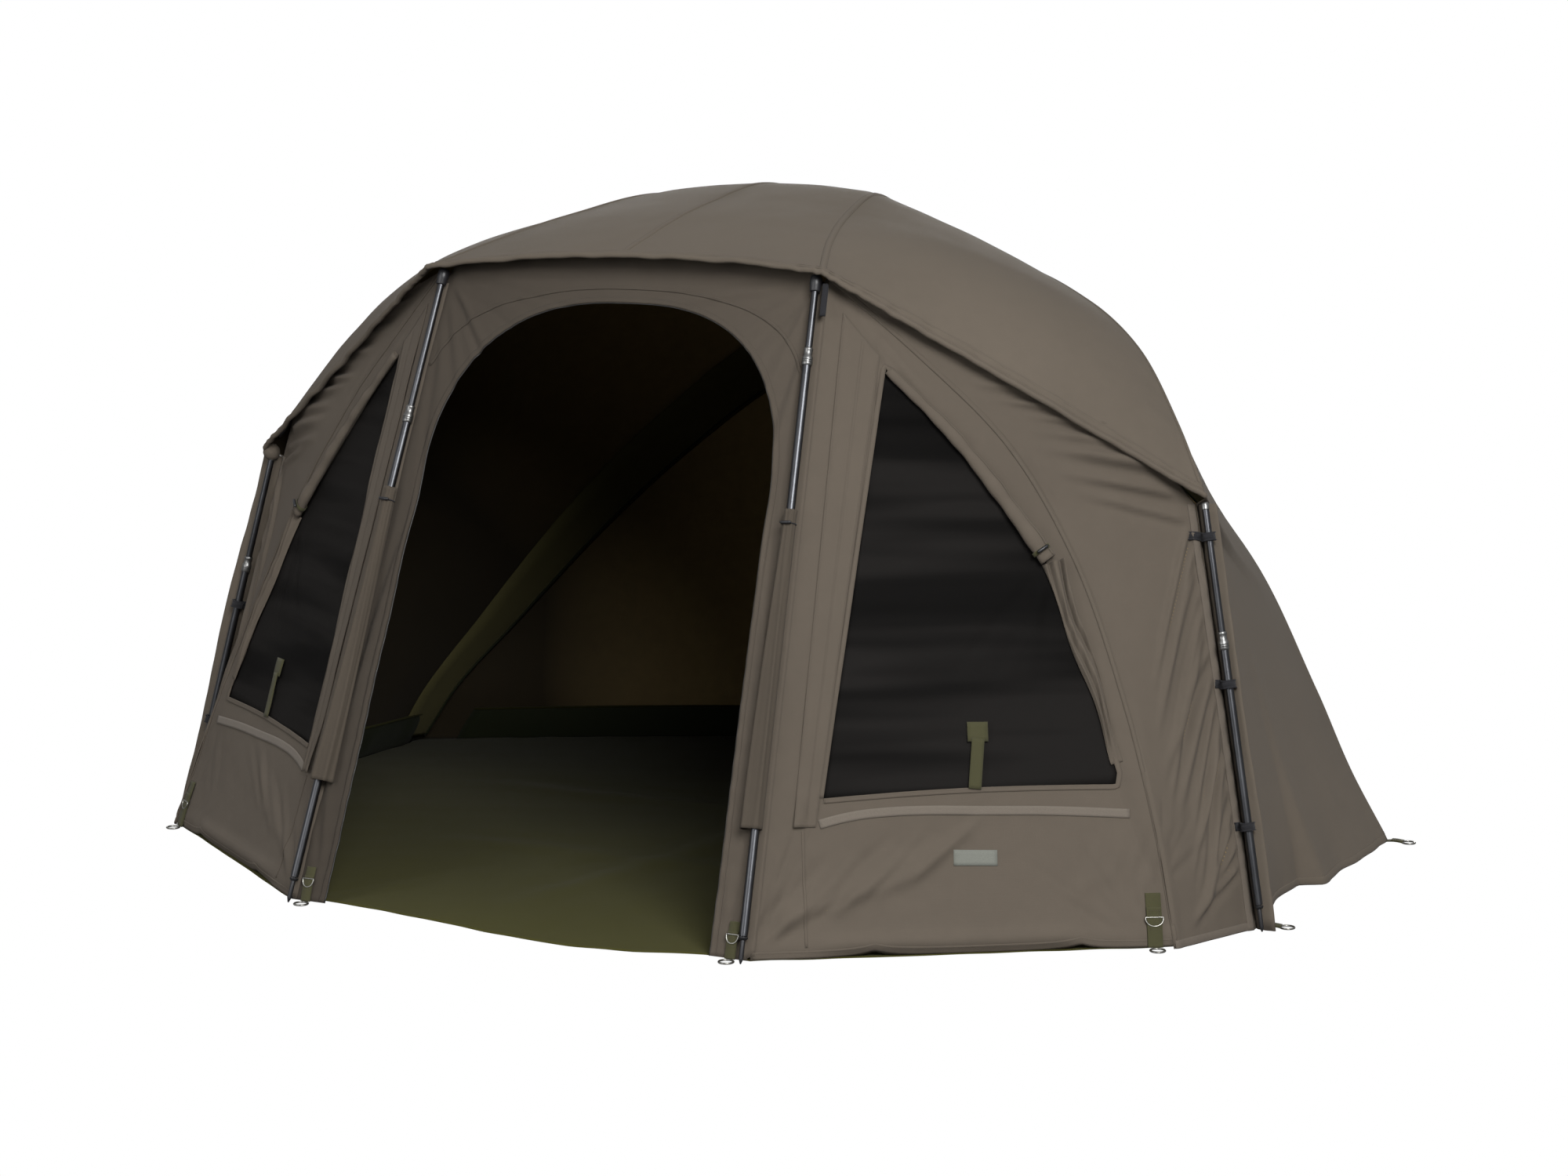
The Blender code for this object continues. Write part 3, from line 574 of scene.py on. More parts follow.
def woven(nodes, pitch, depth, grid=None, after=None):
    """A plain weave, with the raised threads of ripstop every so often."""
    apart = nodes.add("ShaderNodeSeparateXYZ")
    nodes.link(nodes.cut(), apart, "Vector")
    along, across = apart.outputs["X"], apart.outputs["Y"]
    turn = 2 * math.pi / pitch
    wave = nodes.maths(
        "MULTIPLY",
        nodes.maths("SINE", nodes.maths("MULTIPLY", along, turn)),
        nodes.maths("SINE", nodes.maths("MULTIPLY", across, turn)),
    )
    normal = nodes.bump(wave, 0.5, depth, after)
    if grid:
        ridges = []
        for axis in (along, across):
            step = nodes.maths("FRACT", nodes.maths("DIVIDE", axis, grid))
            off = nodes.maths("ABSOLUTE", nodes.maths("SUBTRACT", step, 0.5))
            ridges.append(nodes.maths("GREATER_THAN", off, 0.44))
        normal = nodes.bump(nodes.maths("MAXIMUM", *ridges), 0.35, depth * 1.5, normal)
    return normal


def fabric(name, colour, roughness, pitch=0.0009, grid=0.006, sheen=0.03, blotch=0.07, fade=None, gloss=0.15):
    """Matt coated cloth: woven, softly creased and a little uneven in tone.

    fade is (axis, low, high, dark, light): painted shade, how much the colour is dimmed from low to high
    along an axis.
    """
    nodes = Nodes(name)
    place = nodes.place()
    wide = nodes.noise(2.6, 3.0, 0.5, place)
    near = nodes.noise(34.0, 4.0, 0.6, place)
    tone = nodes.maths("ADD", nodes.maths("MULTIPLY", wide, 0.62), nodes.maths("MULTIPLY", near, 0.38))
    shade = nodes.tint(tone, colour, (0.28, 1 - blotch), (0.72, 1 + blotch))
    # Painted shade: the colour is scaled down along one axis of the object's own coordinates.
    if fade:
        apart = nodes.add("ShaderNodeSeparateXYZ")
        nodes.link(place, apart, "Vector")
        axis, *limits = fade
        keys = ("From Min", "From Max", "To Min", "To Max")
        span = nodes.add("ShaderNodeMapRange", **dict(zip(keys, limits)))
        nodes.link(apart.outputs[axis], span, "Value")
        faded = nodes.add("ShaderNodeVectorMath", operation="SCALE")
        nodes.link(shade, faded, "Vector")
        nodes.link(span.outputs["Result"], faded, "Scale")
        nodes.link(faded.outputs["Vector"], nodes.shader, "Base Color")
    rough = nodes.maths("ADD", roughness - 0.05, nodes.maths("MULTIPLY", near, 0.10))
    nodes.link(rough, nodes.shader, "Roughness")
    nodes.shader.inputs["Sheen Weight"].default_value = sheen
    nodes.shader.inputs["Specular IOR Level"].default_value = gloss
    nodes.shader.inputs["Sheen Roughness"].default_value = 0.5
    crumple = nodes.bump(nodes.noise(22.0, 5.0, 0.62, place), 0.18, 0.0035)
    nodes.link(woven(nodes, pitch, 0.00018, grid, crumple), nodes.shader, "Normal")
    return nodes.material


def webbing(name, colour):
    """Woven tape: a twill across it."""
    nodes = Nodes(name)
    place = nodes.place()
    apart = nodes.add("ShaderNodeSeparateXYZ")
    nodes.link(nodes.cut(), apart, "Vector")
    slant = nodes.maths("ADD", apart.outputs["X"], nodes.maths("MULTIPLY", apart.outputs["Y"], 0.6))
    twill = nodes.maths("SINE", nodes.maths("MULTIPLY", slant, 2 * math.pi / 0.0016))
    fuzz = nodes.noise(900.0, 3.0, 0.6, place)
    tone = nodes.maths("ADD", nodes.maths("MULTIPLY", twill, 0.25), fuzz)
    nodes.tint(tone, colour, (0.2, 0.75), (0.8, 1.3))
    nodes.shader.inputs["Roughness"].default_value = 0.92
    nodes.shader.inputs["Sheen Weight"].default_value = 0.05
    nodes.link(nodes.bump(tone, 0.6, 0.0004), nodes.shader, "Normal")
    return nodes.material


def netting(name, colour):
    """Fine dark mesh that lets a little of the inside show."""
    nodes = Nodes(name)
    place = nodes.place()
    level = nodes.add("ShaderNodeMapping")
    level.inputs["Scale"].default_value = (0.35, 0.35, 4.2)
    nodes.link(place, level, "Vector")
    bands = nodes.noise(1.6, 2.5, 0.6, level.outputs["Vector"])
    nodes.tint(bands, colour, (0.36, 0.25), (0.46, 0.5), (0.54, 1.2))
    nodes.shader.inputs["Roughness"].default_value = 0.75
    nodes.shader.inputs["Alpha"].default_value = 0.95
    nodes.shader.inputs["Specular IOR Level"].default_value = 0.06
    nodes.link(woven(nodes, 0.0016, 0.0003), nodes.shader, "Normal")
    return nodes.material


def metal(name, colour, roughness, metallic=1.0):
    """Drawn or plated metal with fine scratches and slightly worn patches."""
    nodes = Nodes(name)
    place = nodes.place()
    stretch = nodes.add("ShaderNodeMapping")
    stretch.inputs["Scale"].default_value = (1.0, 1.0, 0.04)
    nodes.link(place, stretch, "Vector")
    scratch = nodes.noise(900.0, 3.0, 0.6, stretch.outputs["Vector"])
    wear = nodes.noise(14.0, 4.0, 0.6, place)
    nodes.tint(wear, colour, (0.35, 0.88), (0.7, 1.15))
    mixed = nodes.maths("ADD", nodes.maths("MULTIPLY", scratch, 0.16), nodes.maths("MULTIPLY", wear, 0.08))
    nodes.link(nodes.maths("ADD", mixed, roughness - 0.10), nodes.shader, "Roughness")
    nodes.shader.inputs["Metallic"].default_value = metallic
    nodes.link(nodes.bump(scratch, 0.12, 0.0002), nodes.shader, "Normal")
    return nodes.material


def moulded(name, colour, roughness=0.5):
    """Moulded plastic with a fine spark grain."""
    nodes = Nodes(name)
    place = nodes.place()
    grain = nodes.noise(1400.0, 2.0, 0.5, place)
    patch = nodes.noise(30.0, 3.0, 0.5, place)
    nodes.tint(patch, colour, (0.3, 0.85), (0.7, 1.2))
    rough = nodes.maths("ADD", roughness - 0.08, nodes.maths("MULTIPLY", patch, 0.16))
    nodes.link(rough, nodes.shader, "Roughness")
    nodes.link(nodes.bump(grain, 0.25, 0.0002), nodes.shader, "Normal")
    return nodes.material


CANOPY = fabric("canopy_cloth", (0.103, 0.0855, 0.0668), 0.84)
PANEL = fabric("panel_cloth", (0.096, 0.0795, 0.0624), 0.86)
# Painted shade: the door wall and its trim are dimmed to 0.52 of this colour at the left and 0.86 at the
# right, darker where less light falls.
SHADED_DOOR_CLOTH = fabric("door_cloth_painted_shade", (0.094, 0.0776, 0.0608), 0.86, fade=("X", -0.5, 0.5, 0.52, 0.86))
WRAP = fabric("wrap_cloth", (0.066, 0.0542, 0.0416), 0.86)
# Painted shade: the inner faces are dimmed to 0.05 of this colour at x = -1.0, rising to 0.9 from x = -0.4,
# for the shaded left side inside the shelter.
LINING = fabric("inner_face", (0.290, 0.205, 0.088), 0.80, sheen=0.02, blotch=0.16,
                fade=("X", -1.0, -0.4, 0.05, 0.9))
SLEEVE = fabric("sleeve_inside", (0.060, 0.053, 0.020), 0.80, sheen=0.02, blotch=0.12)
# Near black cloth of the mud skirt; the dark tube along each rib sleeve takes it too, as painted shadow.
SKIRT_AND_PAINTED_SHADOW = fabric("mud_skirt", (0.006, 0.008, 0.0015), 0.7, grid=None)
# Painted shade: the groundsheet and its beads are dimmed from this colour at the front (y = -1.1) to 0.26 of
# it at y = 0.4, darker deeper inside the shelter.
FLOOR_CLOTH = fabric("groundsheet_cloth", (0.050, 0.0475, 0.0120), 0.85, pitch=0.0014, grid=0.010,
                     fade=("Y", -1.1, 0.4, 1.0, 0.26), gloss=0.05)
THREAD = fabric("thread", (0.085, 0.070, 0.055), 0.7, grid=None)
BINDING = webbing("hem_binding", (0.095, 0.078, 0.061))
OLIVE = webbing("olive_tape", (0.040, 0.038, 0.0130))
STRIPE = webbing("pale_tape", (0.122, 0.103, 0.083))
BLACK_TAPE = webbing("black_tape", (0.0075, 0.0075, 0.0100))
PATCH = webbing("blank_label", (0.145, 0.150, 0.130))
NET = netting("window_netting", (0.0095, 0.0086, 0.0080))
ZIP = moulded("zip_coil", (0.012, 0.011, 0.010), 0.45)
PLASTIC = moulded("black_plastic", (0.012, 0.012, 0.014), 0.42)
TUBE = metal("anodised_tube", (0.070, 0.072, 0.078), 0.34)
BRIGHT = metal("bright_alloy", (0.20, 0.20, 0.197), 0.38)
STEEL = metal("rib_steel", (0.045, 0.045, 0.048), 0.42, 0.8)
WIRE = metal("plated_wire", (0.30, 0.295, 0.27), 0.34)


# The canopy: one continuous sheet of sewn panels

def rib_line(name, side):
    """A rib of the canopy from the hub's ring out to its end."""
    outer = placed({"front": FRONT_RIB, "side": SIDE_RIB, "rear": REAR_RIB}[name])
    axis = unit(HUB_AXIS)
    hub = at(*HUB)
    away = outer[0] - hub
    away = away - axis * (away @ axis)
    return mirrored(np.vstack([hub + unit(away) * HUB_RING, outer]), side)


def rib_seam(name, side, steps=RIB_STEPS):
    return smooth_curve(rib_line(name, side), steps + 1)


def side_edge(side):
    """The side rib and then the seam behind the side pole, down to the ground."""
    rib = rib_seam("side", side)
    seam = mirrored(placed(SIDE_SEAM), side)
    jump = line(rib[-1], seam[0], JUMP_STEPS + 1)[1:-1]
    return np.vstack([rib, jump, line(seam[0], seam[1], WALL_STEPS + 1)])


def rear_edge(side):
    return rib_seam("rear", side, RIB_STEPS + JUMP_STEPS + WALL_STEPS)


def rear_spine():
    axis = unit(HUB_AXIS)
    first = at(*HUB) + np.array((0.0, axis[2], -axis[1])) * HUB_RING
    return smooth_curve(np.vstack([first, placed(REAR_SPINE)]), RIB_STEPS + JUMP_STEPS + WALL_STEPS + 1)


def skin(first, last, columns, belly=None, roundness=2.0):
    """A panel's inner face between two seams; belly is how far each row's middle stands out."""
    grid = blended(first, last, columns)
    if belly is not None:
        u = np.linspace(0, 1, columns + 1)[None, :, None]
        grid = grid + belly[:, None] * (1 - np.abs(2 * u - 1) ** roundness)
    return grid


def outward_of(first, last):
    """The mean direction in which a panel between two edges faces away from the inside."""
    middle = (first.mean(0) + last.mean(0)) / 2
    across = last[len(last) // 2] - first[len(first) // 2]
    normal = unit(np.cross(across, (first[-1] + last[-1]) - (first[0] + last[0])))
    return normal if normal @ (middle - INSIDE) > 0 else -normal


def shares(seam):
    return np.linspace(0, 1, len(seam))[:, None]


def front_skin():
    left, right = rib_seam("front", -1), rib_seam("front", 1)
    share = shares(left)
    rise = CROWN_SWELL * share**0.5 + CROWN_RISE * np.sin(math.pi * share)
    return skin(left, right, 48, np.array((0, 0, 1.0)) * rise)


def front_side_skin(side, columns=60):
    front, rib = rib_seam("front", side), rib_seam("side", side)
    swell = FRONT_SIDE_SWELL * np.sin(math.pi * shares(front) ** FRONT_SIDE_SWELL_POWER)
    return skin(front, rib, columns, outward_of(front, rib) * swell)


def side_skin(side, columns=56):
    front, rear = side_edge(side), rear_edge(side)
    swell = SIDE_SWELL * np.sin(math.pi * shares(front))
    return skin(front, rear, columns, outward_of(front, rear) * swell)


def rear_skin():
    left, right = rear_edge(-1), rear_edge(1)
    return skin(left, right, 88, rear_spine() - (left + right) / 2, REAR_ROUNDNESS)


def faced_out(edge):
    """At each point of a seam, the direction away from the inside and square to the seam."""
    along = unit(np.vstack([edge[1] - edge[0], edge[2:] - edge[:-2], edge[-1] - edge[-2]]))
    away = edge - INSIDE
    away = away - along * np.einsum("ij,ij->i", along, away)[:, None]
    away[edge[:, 2] < 0.0004, 2] = 0.0
    return unit(away)


def outs_of(grid):
    """Directions in which a panel is thick: along its seams' own at its edges, square to it between."""
    columns = grid.shape[1]
    u = np.linspace(0, 1, columns)[None, :, None]
    edges = faced_out(grid[:, 0])[:, None] * (1 - u) + faced_out(grid[:, -1])[:, None] * u
    share = np.minimum(1.0, 8 * u * (1 - u))
    out = unit(unit(edges) * (1 - share) + normals_of(grid) * share)
    out[grid[:, :, 2] < 0.0004, 2] = 0.0
    return unit(out)


def widths_of(grid):
    """Each row's length."""
    return np.linalg.norm(np.diff(grid, axis=1), axis=-1).sum(1)[:, None]


def heights_of(grid):
    """Each column's length."""
    return np.linalg.norm(np.diff(grid, axis=0), axis=-1).sum(0)[None, :]


def seam_puckers(grid, depth, wavelength, reach, seed):
    """Small gathers square to a panel's two seams, which fade away from them."""
    along = lengths_of(grid)[..., 1]
    width = widths_of(grid)
    u = np.linspace(0, 1, grid.shape[1])[None, :]
    random = np.random.default_rng(seed)
    total = np.zeros(grid.shape[:2])
    for off in (u * width, (1 - u) * width):
        total += gathers(along, wavelength, random) * smooth_step(off / 0.012) * np.exp(-off / reach)
    return total * depth


def edge_ripple(grid, depth, wavelength, reach, seed):
    """Waves square to a panel's last row, which fade away from it."""
    off = (1 - np.linspace(0, 1, grid.shape[0])[:, None]) * heights_of(grid)
    wave = gathers(lengths_of(grid)[..., 0], wavelength, np.random.default_rng(seed))
    return wave * depth * np.exp(-off / reach)


def pinned(grid, sides=0.02, ends=(0.0, 0.0)):
    """A factor that holds a panel's seams, and its first and last rows where asked, in place."""
    width, length = widths_of(grid), heights_of(grid)
    u = np.linspace(0, 1, grid.shape[1])[None, :]
    v = np.linspace(0, 1, grid.shape[0])[:, None]
    factor = smooth_step(u * width / sides) * smooth_step((1 - u) * width / sides)
    for share, reach in ((v, ends[0]), (1 - v, ends[1])):
        if reach:
            factor = factor * smooth_step(share * length / reach)
    return factor


def foot_dent(grid):
    """How far a side wall's foot is drawn in between its pegs, with a sharp fold at one end of it."""
    back = grid[..., 1] + FOOTPRINT_MIDDLE
    run = 0.042 * smooth_step((back - 0.06) / 0.22) * (1 - smooth_step((back - 0.405) / 0.040))
    run = run - 0.006 * hump(back, 0.46, 0.03)
    return run * np.exp(-np.maximum(grid[..., 2], 0.0) / 0.16)


def drawn_in(wall, side):
    """A side wall's inner face, or a line of it, with its foot drawn in."""
    return wall - (side, 0, 0) * foot_dent(wall)[..., None]


def canopy_panel(grid, seed, ground=False, dent=0):
    """Outer face of one panel of the canopy with its wrinkles."""
    out = outs_of(grid)
    outer = grid + out * CANOPY_STAND_OUT
    height = 0.0016 * ripple(grid, 0.42, seed)
    height += 0.0006 * ripple(grid, 0.11, seed + 1)
    height += seam_puckers(grid, 0.0011, 0.060, 0.05, seed + 2)
    height *= pinned(grid, 0.03, (0.04, 0.0))
    if dent:
        outer = outer - (dent, 0, 0) * foot_dent(grid)[..., None]
    if ground:
        height += edge_ripple(grid, 0.0030, 0.16, 0.10, seed + 3) * pinned(grid, 0.06)
        height = np.minimum(height, 0.004)
    else:
        height += edge_ripple(grid, 0.0012, 0.07, 0.05, seed + 3) * pinned(grid, 0.04)
    return outer + out * height[..., None]


def merged_sheet(name, grids, materials, thickness):
    """Panels that share their seams' points, as one sheet with a thickness."""
    points, faces, uvs = [], [], []
    first = 0
    for grid in grids:
        points.append(grid.reshape(-1, 3))
        made = grid_faces(*grid.shape[:2], first)
        facing = np.cross(np.gradient(grid, axis=1), np.gradient(grid, axis=0))
        if np.einsum("ijk,ijk->", facing, grid - INSIDE) < 0:
            made = made[:, ::-1]
        faces.append(made)
        uvs.append(lengths_of(grid).reshape(-1, 2))
        first += grid.shape[0] * grid.shape[1]
    obj = add_mesh(name, np.vstack(points), np.vstack(faces), materials, np.vstack(uvs))
    bm = bmesh.new()
    bm.from_mesh(obj.data)
    bmesh.ops.remove_doubles(bm, verts=bm.verts, dist=0.0002)
    bm.to_mesh(obj.data)
    bm.free()
    solid = obj.modifiers.new("thickness", "SOLIDIFY")
    solid.thickness = thickness
    solid.offset = -1.0
    solid.material_offset = 1
    solid.material_offset_rim = 0
    solid.use_rim = True
    obj.data.shade_smooth()
    return obj


CANOPY_NODES = (
    "canopy_front",
    "canopy_front_side_left",
    "canopy_front_side_right",
    "canopy_side_left",
    "canopy_side_right",
    "canopy_rear",
)


def build_canopy():
    panels = {"front": canopy_panel(front_skin(), 11)}
    for word, side in SIDES.items():
        panels[f"front_side_{word}"] = canopy_panel(front_side_skin(side), 23 + side)
        panels[f"side_{word}"] = canopy_panel(side_skin(side, 90), 37 + side, ground=True, dent=side)
    panels["rear"] = canopy_panel(rear_skin(), 53, ground=True)
    canopy = merged_sheet("canopy", list(panels.values()), [CANOPY, LINING], SHEET_THICKNESS)
    shown(canopy, replaces=CANOPY_NODES)
    return canopy, panels


# Camera, light and floor

CAMERA_PLACE = (3.064, -5.8525, 1.445)
CAMERA_TILT_DOWN = 7.83
CAMERA_TURN = 27.44
CAMERA_LENS = 68.3
CAMERA_SENSOR = 36.0
# Each lamp's place, size in metres and power in watts
LAMPS = {
    "key": ((5.0, -5.4, 4.9), 4.0, 720.0),
    "fill": ((-2.0, -6.6, 2.4), 4.0, 130.0),
    "back": ((-3.2, 6.2, 1.5), 4.0, 500.0),
}
FLOOR_REACH = 30.0
FLOOR_DROP = 0.003
SWEEP_DIRECTION = (-0.4565, 0.8791, -0.1362)


def camera_and_light():
    """The photograph's view and soft studio light from the front and above."""
    scene = bpy.context.scene
    scene.view_settings.view_transform = "Standard"
    camera = bpy.data.objects.new("camera", bpy.data.cameras.new("camera"))
    scene.collection.objects.link(camera)
    scene.camera = camera
    camera.location = CAMERA_PLACE
    camera.rotation_euler = (math.radians(90 - CAMERA_TILT_DOWN), 0.0, math.radians(CAMERA_TURN))
    camera.data.lens = CAMERA_LENS
    camera.data.sensor_width = CAMERA_SENSOR
    camera.data.clip_end = 200.0
    scene.world = studio_world()
    for name, (place, size, power) in LAMPS.items():
        add_lamp(name, place, size, power)
    build_floor()


def add_lamp(name, place, size, power):
    light = bpy.data.lights.new(name, "AREA")
    light.shape = "DISK"
    light.size = size
    light.energy = power
    lamp = bpy.data.objects.new(name, light)
    bpy.context.scene.collection.objects.link(lamp)
    lamp.location = place
    lamp.rotation_euler = (Vector((0, 0, 0.5)) - lamp.location).to_track_quat("-Z", "Y").to_euler()


def build_floor():
    """The pale studio floor just under the pegs: a white card that neither lights nor shades the shelter."""
    card = bpy.data.materials.new("white_card")
    card.use_nodes = True
    nodes = card.node_tree.nodes
    nodes.remove(nodes["Principled BSDF"])
    white = nodes.new("ShaderNodeEmission")
    white.inputs["Color"].default_value = (1.0, 1.0, 1.0, 1.0)
    card.node_tree.links.new(white.outputs["Emission"], nodes["Material Output"].inputs["Surface"])
    bpy.ops.mesh.primitive_circle_add(vertices=96, radius=FLOOR_REACH, fill_type="NGON",
                                      location=(0.0, 0.0, -FLOOR_DROP))
    floor = bpy.context.object
    floor.name = "studio_floor"
    floor.data.materials.append(card)
    floor.visible_diffuse = False
    floor.visible_glossy = False
    floor.visible_transmission = False
    floor.visible_shadow = False


def studio_world():
    """Soft light from above, less from below, and a white sweep behind the shelter."""
    world = bpy.data.worlds.new("studio")
    world.use_nodes = True
    tree = world.node_tree
    place = tree.nodes.new("ShaderNodeTexCoord")
    turned_away = tree.nodes.new("ShaderNodeVectorMath")
    turned_away.operation = "DOT_PRODUCT"
    turned_away.inputs[1].default_value = SWEEP_DIRECTION
    tree.links.new(place.outputs["Generated"], turned_away.inputs[0])
    sweep = tree.nodes.new("ShaderNodeMapRange")
    sweep.inputs["From Min"].default_value = 0.86
    sweep.inputs["From Max"].default_value = 0.93
    tree.links.new(turned_away.outputs["Value"], sweep.inputs["Value"])
    apart = tree.nodes.new("ShaderNodeSeparateXYZ")
    tree.links.new(place.outputs["Generated"], apart.inputs["Vector"])
    height = tree.nodes.new("ShaderNodeMapRange")
    height.inputs["From Min"].default_value = -0.5
    height.inputs["From Max"].default_value = 0.6
    height.inputs["To Min"].default_value = 0.13
    height.inputs["To Max"].default_value = 0.45
    tree.links.new(apart.outputs["Z"], height.inputs["Value"])
    strength = tree.nodes.new("ShaderNodeMath")
    strength.operation = "MAXIMUM"
    tree.links.new(height.outputs["Result"], strength.inputs[0])
    tree.links.new(sweep.outputs["Result"], strength.inputs[1])
    tree.nodes["Background"].inputs["Color"].default_value = (1.0, 1.0, 1.0, 1.0)
    tree.links.new(strength.outputs["Value"], tree.nodes["Background"].inputs["Strength"])
    return world


# The canopy's seams and its front hem

# Each point of the felled seam's section: towards which panel, how far, and how far out of the cloth
FELLED_SEAM = (
    (0, 0.0075, 0.0004),
    (0, 0.0060, 0.0014),
    (0, 0.0020, 0.0015),
    (0, 0.0, 0.0019),
    (1, 0.0020, 0.0015),
    (1, 0.0060, 0.0014),
    (1, 0.0075, 0.0004),
)


def build_rib_tapes(panels):
    """The felled seams that lie over the ribs and the crown, with a row of stitches each side."""
    front, rear = panels["front"], panels["rear"]
    left, right = panels["front_side_left"], panels["front_side_right"]
    side_left, side_right = panels["side_left"], panels["side_right"]
    rib_end = RIB_STEPS + 1
    middle = front.shape[1] // 2
    seams = (
        ("front_left", left[:, 0], left[:, 1], front[:, 1]),
        ("front_right", right[:, 0], front[:, -2], right[:, 1]),
        ("side_left", left[:, -1], side_left[:rib_end, 1], left[:, -2]),
        ("side_right", side_right[:rib_end, 0], right[:, -2], side_right[:rib_end, 1]),
        ("middle", front[:, middle], front[:, middle - 1], front[:, middle + 1]),
        ("rear_left", rear[:, 0], rear[:, 1], side_left[:, -2]),
        ("rear_right", rear[:, -1], side_right[:, -2], rear[:, -2]),
    )
    made, rows = [], []
    for name, seam, one, other in seams:
        outs = faced_out(seam)
        sides = [unit(one - seam), unit(other - seam)]
        grid = np.stack([seam + sides[k] * off + outs * up for k, off, up in FELLED_SEAM], 1)
        made.append(shell(f"tape_{name}", grid[2:-1], CANOPY, 0.0010))
        for way in sides:
            rows.append(((seam + way * 0.0048 + outs * 0.0017)[2:-1], outs[2:-1]))
    shown(joined("canopy_seams", made))
    shown(stitches("canopy_seam_stitches", rows, THREAD, pitch=0.0050, length=0.0034))


def hem_line(panels):
    """The canopy's free front edge from the left side pole to the right one, with its two directions."""
    strips = []
    for name in ("front_side_left", "front", "front_side_right"):
        grid = panels[name]
        edge, behind = grid[-1], grid[-3]
        along = np.gradient(edge, axis=0)
        up = unit(behind - edge)
        out = unit(np.cross(along, up))
        out = np.where(out[:, 2:] < 0, -out, out)
        if name == "front_side_left":
            edge, up, out = edge[::-1], up[::-1], out[::-1]
        strips.append((edge, up, out))
    kept = [[part[:-1] for part in strip] for strip in strips[:2]] + [strips[2]]
    edge, up, out = (np.vstack(parts) for parts in zip(*kept))
    for _ in range(6):
        up[1:-1] = (up[:-2] + up[1:-1] + up[2:]) / 3
        out[1:-1] = (out[:-2] + out[1:-1] + out[2:]) / 3
    return edge, unit(up), unit(out)


# The rolled hem's section: how far up the cloth from its edge, and how far out of it
HEM_SECTION = (
    (0.0300, 0.0003), (0.0285, 0.0022), (0.0255, 0.0030), (0.0225, 0.0024), (0.0140, 0.0024),
    (0.0122, 0.0018), (0.0104, 0.0002), (0.0088, 0.0036), (0.0045, 0.0060), (0.0000, 0.0048),
    (-0.0030, 0.0012), (-0.0028, -0.0020), (-0.0008, -0.0046), (0.0040, -0.0056), (0.0080, -0.0042),
    (0.0100, -0.0034), (0.0240, -0.0033), (0.0270, -0.0022),
)


def build_front_hem(panels):
    """The rolled hem of the canopy's front edge, with two rows of stitches."""
    edge, up, out = hem_line(panels)
    count = 3 * len(edge)
    both = resampled(np.hstack([edge, up, out]), count)
    edge, up, out = both[:, :3], unit(both[:, 3:6]), unit(both[:, 6:])
    along = np.linspace(0, length_along(edge), count)
    wave = 0.0008 * np.sin(along * 2 * math.pi / 0.083) + 0.0006 * np.sin(along * 2 * math.pi / 0.047 + 1.0)
    rings = []
    for s, h in HEM_SECTION:
        rings.append(edge + up * s + out * (h + wave * (0.4 if s > 0.02 else 1.0))[:, None])
    hem = shown(capped("canopy_hem", np.stack(rings, 1), CANOPY))
    rows = [(edge + up * s + out * 0.0027, out) for s in (0.0145, 0.0236)]
    shown(stitches("canopy_hem_stitches", rows, THREAD))
    return hem


# The door wall

class Plane:
    """A flat wall: points of it as (along, up) and back, raised out of the wall by a height."""

    def __init__(self, origin, along, up, back=0.0):
        self.x = unit(along - origin)
        self.z = unit(np.cross(self.x, up - origin))
        self.y = np.cross(self.z, self.x)
        self.origin = origin - self.z * back

    def flat(self, points):
        rel = np.asarray(points) - self.origin
        return np.stack([rel @ self.x, rel @ self.y], -1)

    def raised(self, flat, height=0.0):
        height = np.broadcast_to(height, flat.shape[:-1])[..., None]
        return self.origin + flat[..., :1] * self.x + flat[..., 1:] * self.y + height * self.z


def poles_plane():
    """The front poles' plane, set back to the door wall."""
    foot, top = placed(FRONT_POLE)
    middle = np.array((0, foot[1], 0))
    return Plane(middle, middle + (1, 0, 0), np.array((0, top[1], top[2])), DOOR_SETBACK)


def on_door(x, z):
    foot, top = placed(FRONT_POLE)
    return np.array((x, foot[1] + (top[1] - foot[1]) * z / top[2], z))


def on_door_flat(points):
    return DOOR.flat(np.array([on_door(x, z) for x, z in points]))


DOOR = poles_plane()
HEAD_SPOT = on_door_flat([(FRONT_POLE[1][0], FRONT_POLE[1][2])])[0]
DOOR_LEG_ROWS = 120
DOOR_ARCH_ROWS = 70
DOOR_COLUMNS = 20
ARCH_SPLIT = math.radians(40)
DOOR_OUTER_LEG = ((0.5205, WALL_FOOT), (0.4370, 1.252))
DOOR_FLAP_SEAM = (
    (0.0, 1.232),
    (0.120, 1.228),
    (0.205, 1.215),
    (0.288, 1.195),
    (0.356, 1.162),
    (0.397, 1.126),
    (0.435, 1.067),
)


def arch_point(angle):
    rise = DOOR_HEIGHT - DOOR_SHOULDER_HEIGHT
    share = 2 / DOOR_ARCH_POWER
    x = DOOR_SHOULDER_HALF_WIDTH * max(math.cos(angle), 0.0) ** share
    return x, DOOR_SHOULDER_HEIGHT + rise * math.sin(angle) ** share


def doorway_edge():
    """The right half of the doorway's edge as flat points, in its leg and its arch."""
    leg = [(DOOR_HALF_WIDTH, WALL_FOOT), *(arch_point(a) for a in np.linspace(0, ARCH_SPLIT, 30))]
    arch = [arch_point(a) for a in np.linspace(ARCH_SPLIT, math.pi / 2, 40)]
    return resampled(on_door_flat(leg), DOOR_LEG_ROWS + 1), resampled(on_door_flat(arch), DOOR_ARCH_ROWS + 1)


